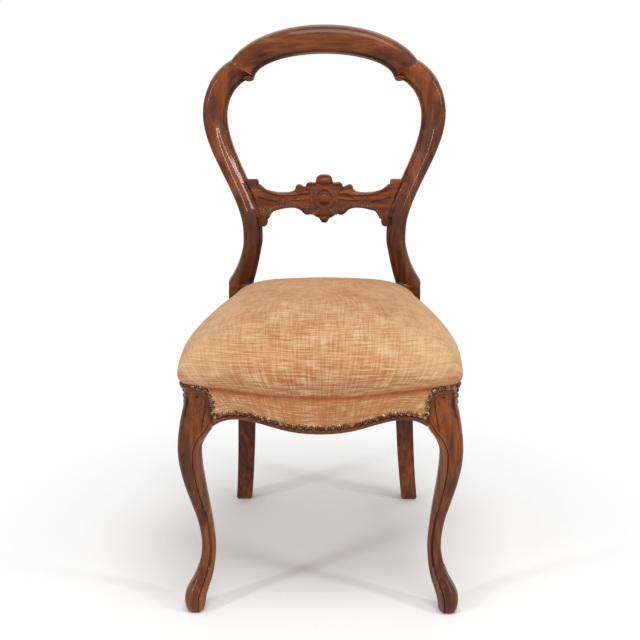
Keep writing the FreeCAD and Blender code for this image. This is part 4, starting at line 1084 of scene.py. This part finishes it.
# Painted sheen: the shoulders of the seat are made pale and golden.
shoulder_sheen = velvet.range(away, 0.09, 0.20) * velvet.range(height, 0.412, 0.432)
calm = velvet.range(depth, knee_y + 0.05, knee_y + 0.3, 1.0, 0.45)
tone = ((across * 0.36 + down * 0.22 - 0.29) * calm + pile * 0.14 + patches * 0.15
        + small_patches * 0.13 + 0.29)
cloth_colour = velvet.ramp(tone, [(0.24, colour(166, 112, 72)), (0.5, colour(193, 147, 107)),
                                  (0.76, colour(211, 177, 142))])
shoulder_sheened = velvet.colours(shoulder_sheen * 0.35, cloth_colour, colour(210, 178, 136))
wear_and_painted_light = velvet.colours(rubbed * velvet.range(tone, 0.75, 0.3) * 0.95, shoulder_sheened, colour(166, 94, 48))
# Painted shade: the turned-under border below the crease is darkened to an orange brown.
painted_border_shade = velvet.attribute("border") * velvet.range(tone, 0.8, 0.25) * 0.6
border_shaded = velvet.colours(painted_border_shade, wear_and_painted_light, colour(176, 112, 66))
# Painted shade: the crease is darkened to a rust brown.
painted_crease_shade = velvet.attribute("crease") * velvet.range(small_patches + across * 0.5, -0.2, 1.0, 0.45, 0.95)
crease_shaded = velvet.colours(painted_crease_shade, border_shaded, colour(156, 84, 40))
velvet.set("Base Color", crease_shaded)
velvet.bump(across * 0.6 + down * 0.4 + pile * 0.5, 0.0004, 0.5)
finish_piece(seat, velvet.material, "velvet", "seat_cover", "top_stuffing", "first_stuffing")

# %% [markdown]
# Under the stuffing a sheet of hessian is stretched over the springs and tacked to the rails. It is the
# same kind of grid, level at the rim and raised over the springs.

# %% Hessian over the springs
hessian_rows = [(0.0, 446.0), (0.63, 445.0), (0.73, 434.0), (0.82, 419.0), (0.845, 406.2), (0.925, 406.2)]
hessian_rim = 0.925
hessian_corner = (124.0, 373.0)


def make_hessian():
    bm = bmesh.new()
    count = 40
    half = count // 2
    bmesh.ops.create_grid(bm, x_segments=count, y_segments=count, size=1)
    rings = {ring: [evenly_along(side, 2 * ring) for side in seat_sides(0)] for ring in range(1, half + 1)}
    for vert in bm.verts:
        i, j = round(vert.co.x * half), round(vert.co.y * half)
        ring = max(abs(i), abs(j))
        if ring == 0:
            vert.co = at(0, seat_middle_y, hessian_rows[0][1])
            continue
        x, y = outline_point(rings[ring], ring, i, j)
        scale = hessian_rim * ring / half
        x, y = x * scale, seat_middle_y + (y - seat_middle_y) * scale
        if abs(x) > hessian_corner[0] and y > hessian_corner[1]:
            y = hessian_corner[1]
        vert.co = at(x, y, level(hessian_rows, scale))
    bmesh.ops.recalc_face_normals(bm, faces=bm.faces)
    area = sum(face.calc_area() for face in bm.faces)
    made = mesh_object("stretched_hessian", bm)
    thick = made.modifiers.new("thickness", "SOLIDIFY")
    thick.thickness = 1.0 * mm
    thick.offset = 0
    apply_modifiers(made)
    for polygon in made.data.polygons:
        polygon.use_smooth = True
    return made, area


hessian_finish = Finish("hessian_weave", Roughness=0.95, Specular_IOR_Level=0.1)
place = hessian_finish.coordinates()
threads = (hessian_finish.noise(place, (700, 60, 700)) * 0.5
           + hessian_finish.noise(place, (60, 700, 700)) * 0.5)
jute_colour = hessian_finish.ramp(threads, [(0.35, colour(118, 92, 58)), (0.65, colour(176, 146, 100))])
hessian_finish.set("Base Color", jute_colour)
hessian_finish.bump(threads, 0.0006, 0.6)
hessian, hessian_area = make_hessian()
finish_piece(hessian, hessian_finish.material, "hessian", "spring_hessian")
print("hessian sheet, square metres:", round(hessian_area, 3))

# %% [markdown]
# The rest keeps the frame's own shape and needs only a finish: domed brass nails with a patchy
# tarnish, copper coated springs, jute webbing, blued tacks, steel screws and plain inner wood.

# %% Finishes of the small and inner pieces
def dress(finish, slot, *names):
    for name in names:
        node = nodes[name]
        node.data.materials.clear()
        node.data.materials.append(finish.material)
    print(slot, "on", len(names), "pieces")


brass = Finish("aged_brass", Metallic=1.0)
place = brass.coordinates()
tarnish = brass.range(brass.noise(place, (150, 150, 150), detail=2), 0.35, 0.68)
brass.set("Base Color", brass.ramp(tarnish, [(0.0, colour(72, 52, 36)), (0.55, colour(112, 84, 60)),
                                            (1.0, colour(150, 118, 88))]))
brass.set("Roughness", brass.range(tarnish, 0.0, 1.0, 0.26, 0.18))
dress(brass, "nail_brass", "front_nails", "back_nails", "knee_nails_right", "knee_nails_left",
      "side_nails_right", "side_nails_left")


def metal(name, roughness, scale, dark, light):
    """A dull metal that wavers between two colours."""
    made = Finish(name, Metallic=1.0, Roughness=roughness)
    dull = made.noise(made.coordinates(), (scale, scale, scale))
    made.set("Base Color", made.colours(dull, colour(*dark), colour(*light)))
    return made


springs = [name for name in nodes if name.startswith("seat_spring")]
dress(metal("coppered_wire", 0.35, 180, (120, 84, 60), (170, 122, 88)), "spring_wire", *springs)
dress(metal("blued_steel", 0.45, 300, (40, 42, 50), (84, 86, 96)), "tack_steel", "webbing_tacks")
dress(metal("screw_steel", 0.35, 300, (130, 128, 124), (170, 168, 162)), "screw_steel",
      "corner_block_screws")


def jute(name, along_axis):
    """Plain woven jute, drawn as threads along the strap and threads across it."""
    made = Finish(name, Roughness=0.95, Specular_IOR_Level=0.1)
    place = made.coordinates()
    warp = made.noise(place, grained(along_axis, 30.0, 420.0))
    weft = made.noise(place, grained(along_axis, 420.0, 30.0))
    threads = warp * 0.5 + weft * 0.5
    made.set("Base Color", made.ramp(threads, [(0.35, colour(120, 92, 58)), (0.5, colour(160, 128, 86)),
                                               (0.66, colour(188, 160, 116))]))
    made.bump(threads, 0.0006, 0.7)
    return made


dress(jute("jute_front_to_back", 1), "webbing", "webbing_front_to_back")
dress(jute("jute_side_to_side", 0), "webbing", "webbing_side_to_side")


def plain_wood(name, grain_axis):
    made = Finish(name, Roughness=0.7, Specular_IOR_Level=0.25)
    place = made.coordinates()
    grain = made.noise(place, grained(grain_axis, 5.0, 70.0), detail=4, roughness=0.6, distortion=0.5)
    made.set("Base Color", made.ramp(grain, [(0.32, colour(126, 88, 54)), (0.5, colour(164, 122, 78)),
                                             (0.68, colour(190, 150, 102))]))
    made.bump(grain, 0.0003, 0.5)
    return made


dress(plain_wood("beech_across", 0), "inner_wood", "back_seat_rail", "corner_block_front_right",
      "corner_block_front_left", "corner_block_back_right", "corner_block_back_left",
      "seat_rail_dowels", "mid_rail_dowels")
dress(plain_wood("beech_upright", 2), "inner_wood", "crest_dowels")

# %% [markdown]
# The studio: a pale floor, a white surround and soft lamps. The floor is lit like the chair, so it
# keeps the shadow, and away from the chair it fades to white. Only the camera sees the floor's white,
# so it adds no light. The surround does light the chair, at a lower strength than the camera sees.

# %% Studio
def soft_lamp(name, place, size, power):
    data = bpy.data.lights.new(name, "AREA")
    data.shape = "RECTANGLE"
    data.size, data.size_y = size
    data.energy = power
    lamp = bpy.data.objects.new(name, data)
    lamp.location = place
    lamp.rotation_mode = "QUATERNION"
    lamp.rotation_quaternion = (Vector((0, 0, 0.45)) - Vector(place)).to_track_quat("-Z", "Y")
    bpy.context.scene.collection.objects.link(lamp)


soft_lamp("left_lamp", (-1.9, -1.7, 1.9), (0.18, 0.9), 16)
soft_lamp("right_lamp", (2.0, -1.3, 1.8), (0.18, 0.9), 14)
soft_lamp("top_lamp", (0.2, -0.9, 2.7), (1.2, 1.2), 30)

surround_light = 0.58
world = bpy.data.worlds.new("studio")
bpy.context.scene.world = world
world.use_nodes = True
tree = world.node_tree
background = tree.nodes["Background"]
path = tree.nodes.new("ShaderNodeLightPath")
seen = path.outputs["Is Camera Ray"]
for kind in ("Is Glossy Ray", "Is Transmission Ray"):
    either = tree.nodes.new("ShaderNodeMath")
    either.operation = "MAXIMUM"
    tree.links.new(seen, either.inputs[0])
    tree.links.new(path.outputs[kind], either.inputs[1])
    seen = either.outputs[0]
strength = tree.nodes.new("ShaderNodeMapRange")
strength.inputs["To Min"].default_value = surround_light
strength.inputs["To Max"].default_value = 1.0
tree.links.new(seen, strength.inputs["Value"])
tree.links.new(strength.outputs[0], background.inputs["Strength"])
background.inputs["Color"].default_value = (1, 1, 1, 1)

bm = bmesh.new()
bmesh.ops.create_grid(bm, x_segments=2, y_segments=2, size=30)
floor = mesh_object("floor", bm)
paper = Finish("floor_paper", Roughness=0.9, Specular_IOR_Level=0.05)
place = paper.coordinates()
cloudiness = paper.noise(place, (3, 3, 3))
paper.set("Base Color", paper.colours(cloudiness, (0.93, 0.93, 0.93, 1), (0.95, 0.95, 0.95, 1)))
distance = paper.node("ShaderNodeVectorMath", {"operation": "LENGTH"}, {0: place}, output="Value")
seen = paper.node("ShaderNodeLightPath", output="Is Camera Ray")
fade = paper.range(distance, 0.22, 0.75) * seen
white = paper.node("ShaderNodeEmission", {}, {"Color": (1, 1, 1, 1), "Strength": 1.0})
blend = paper.node("ShaderNodeMixShader", {}, {0: fade})
paper.tree.links.new(paper.shader.outputs[0], blend.socket.node.inputs[1])
paper.tree.links.new(white.socket, blend.socket.node.inputs[2])
paper.tree.links.new(blend.socket, paper.tree.nodes["Material Output"].inputs["Surface"])
floor.data.materials.append(paper.material)
bpy.context.scene.view_settings.view_transform = "Standard"
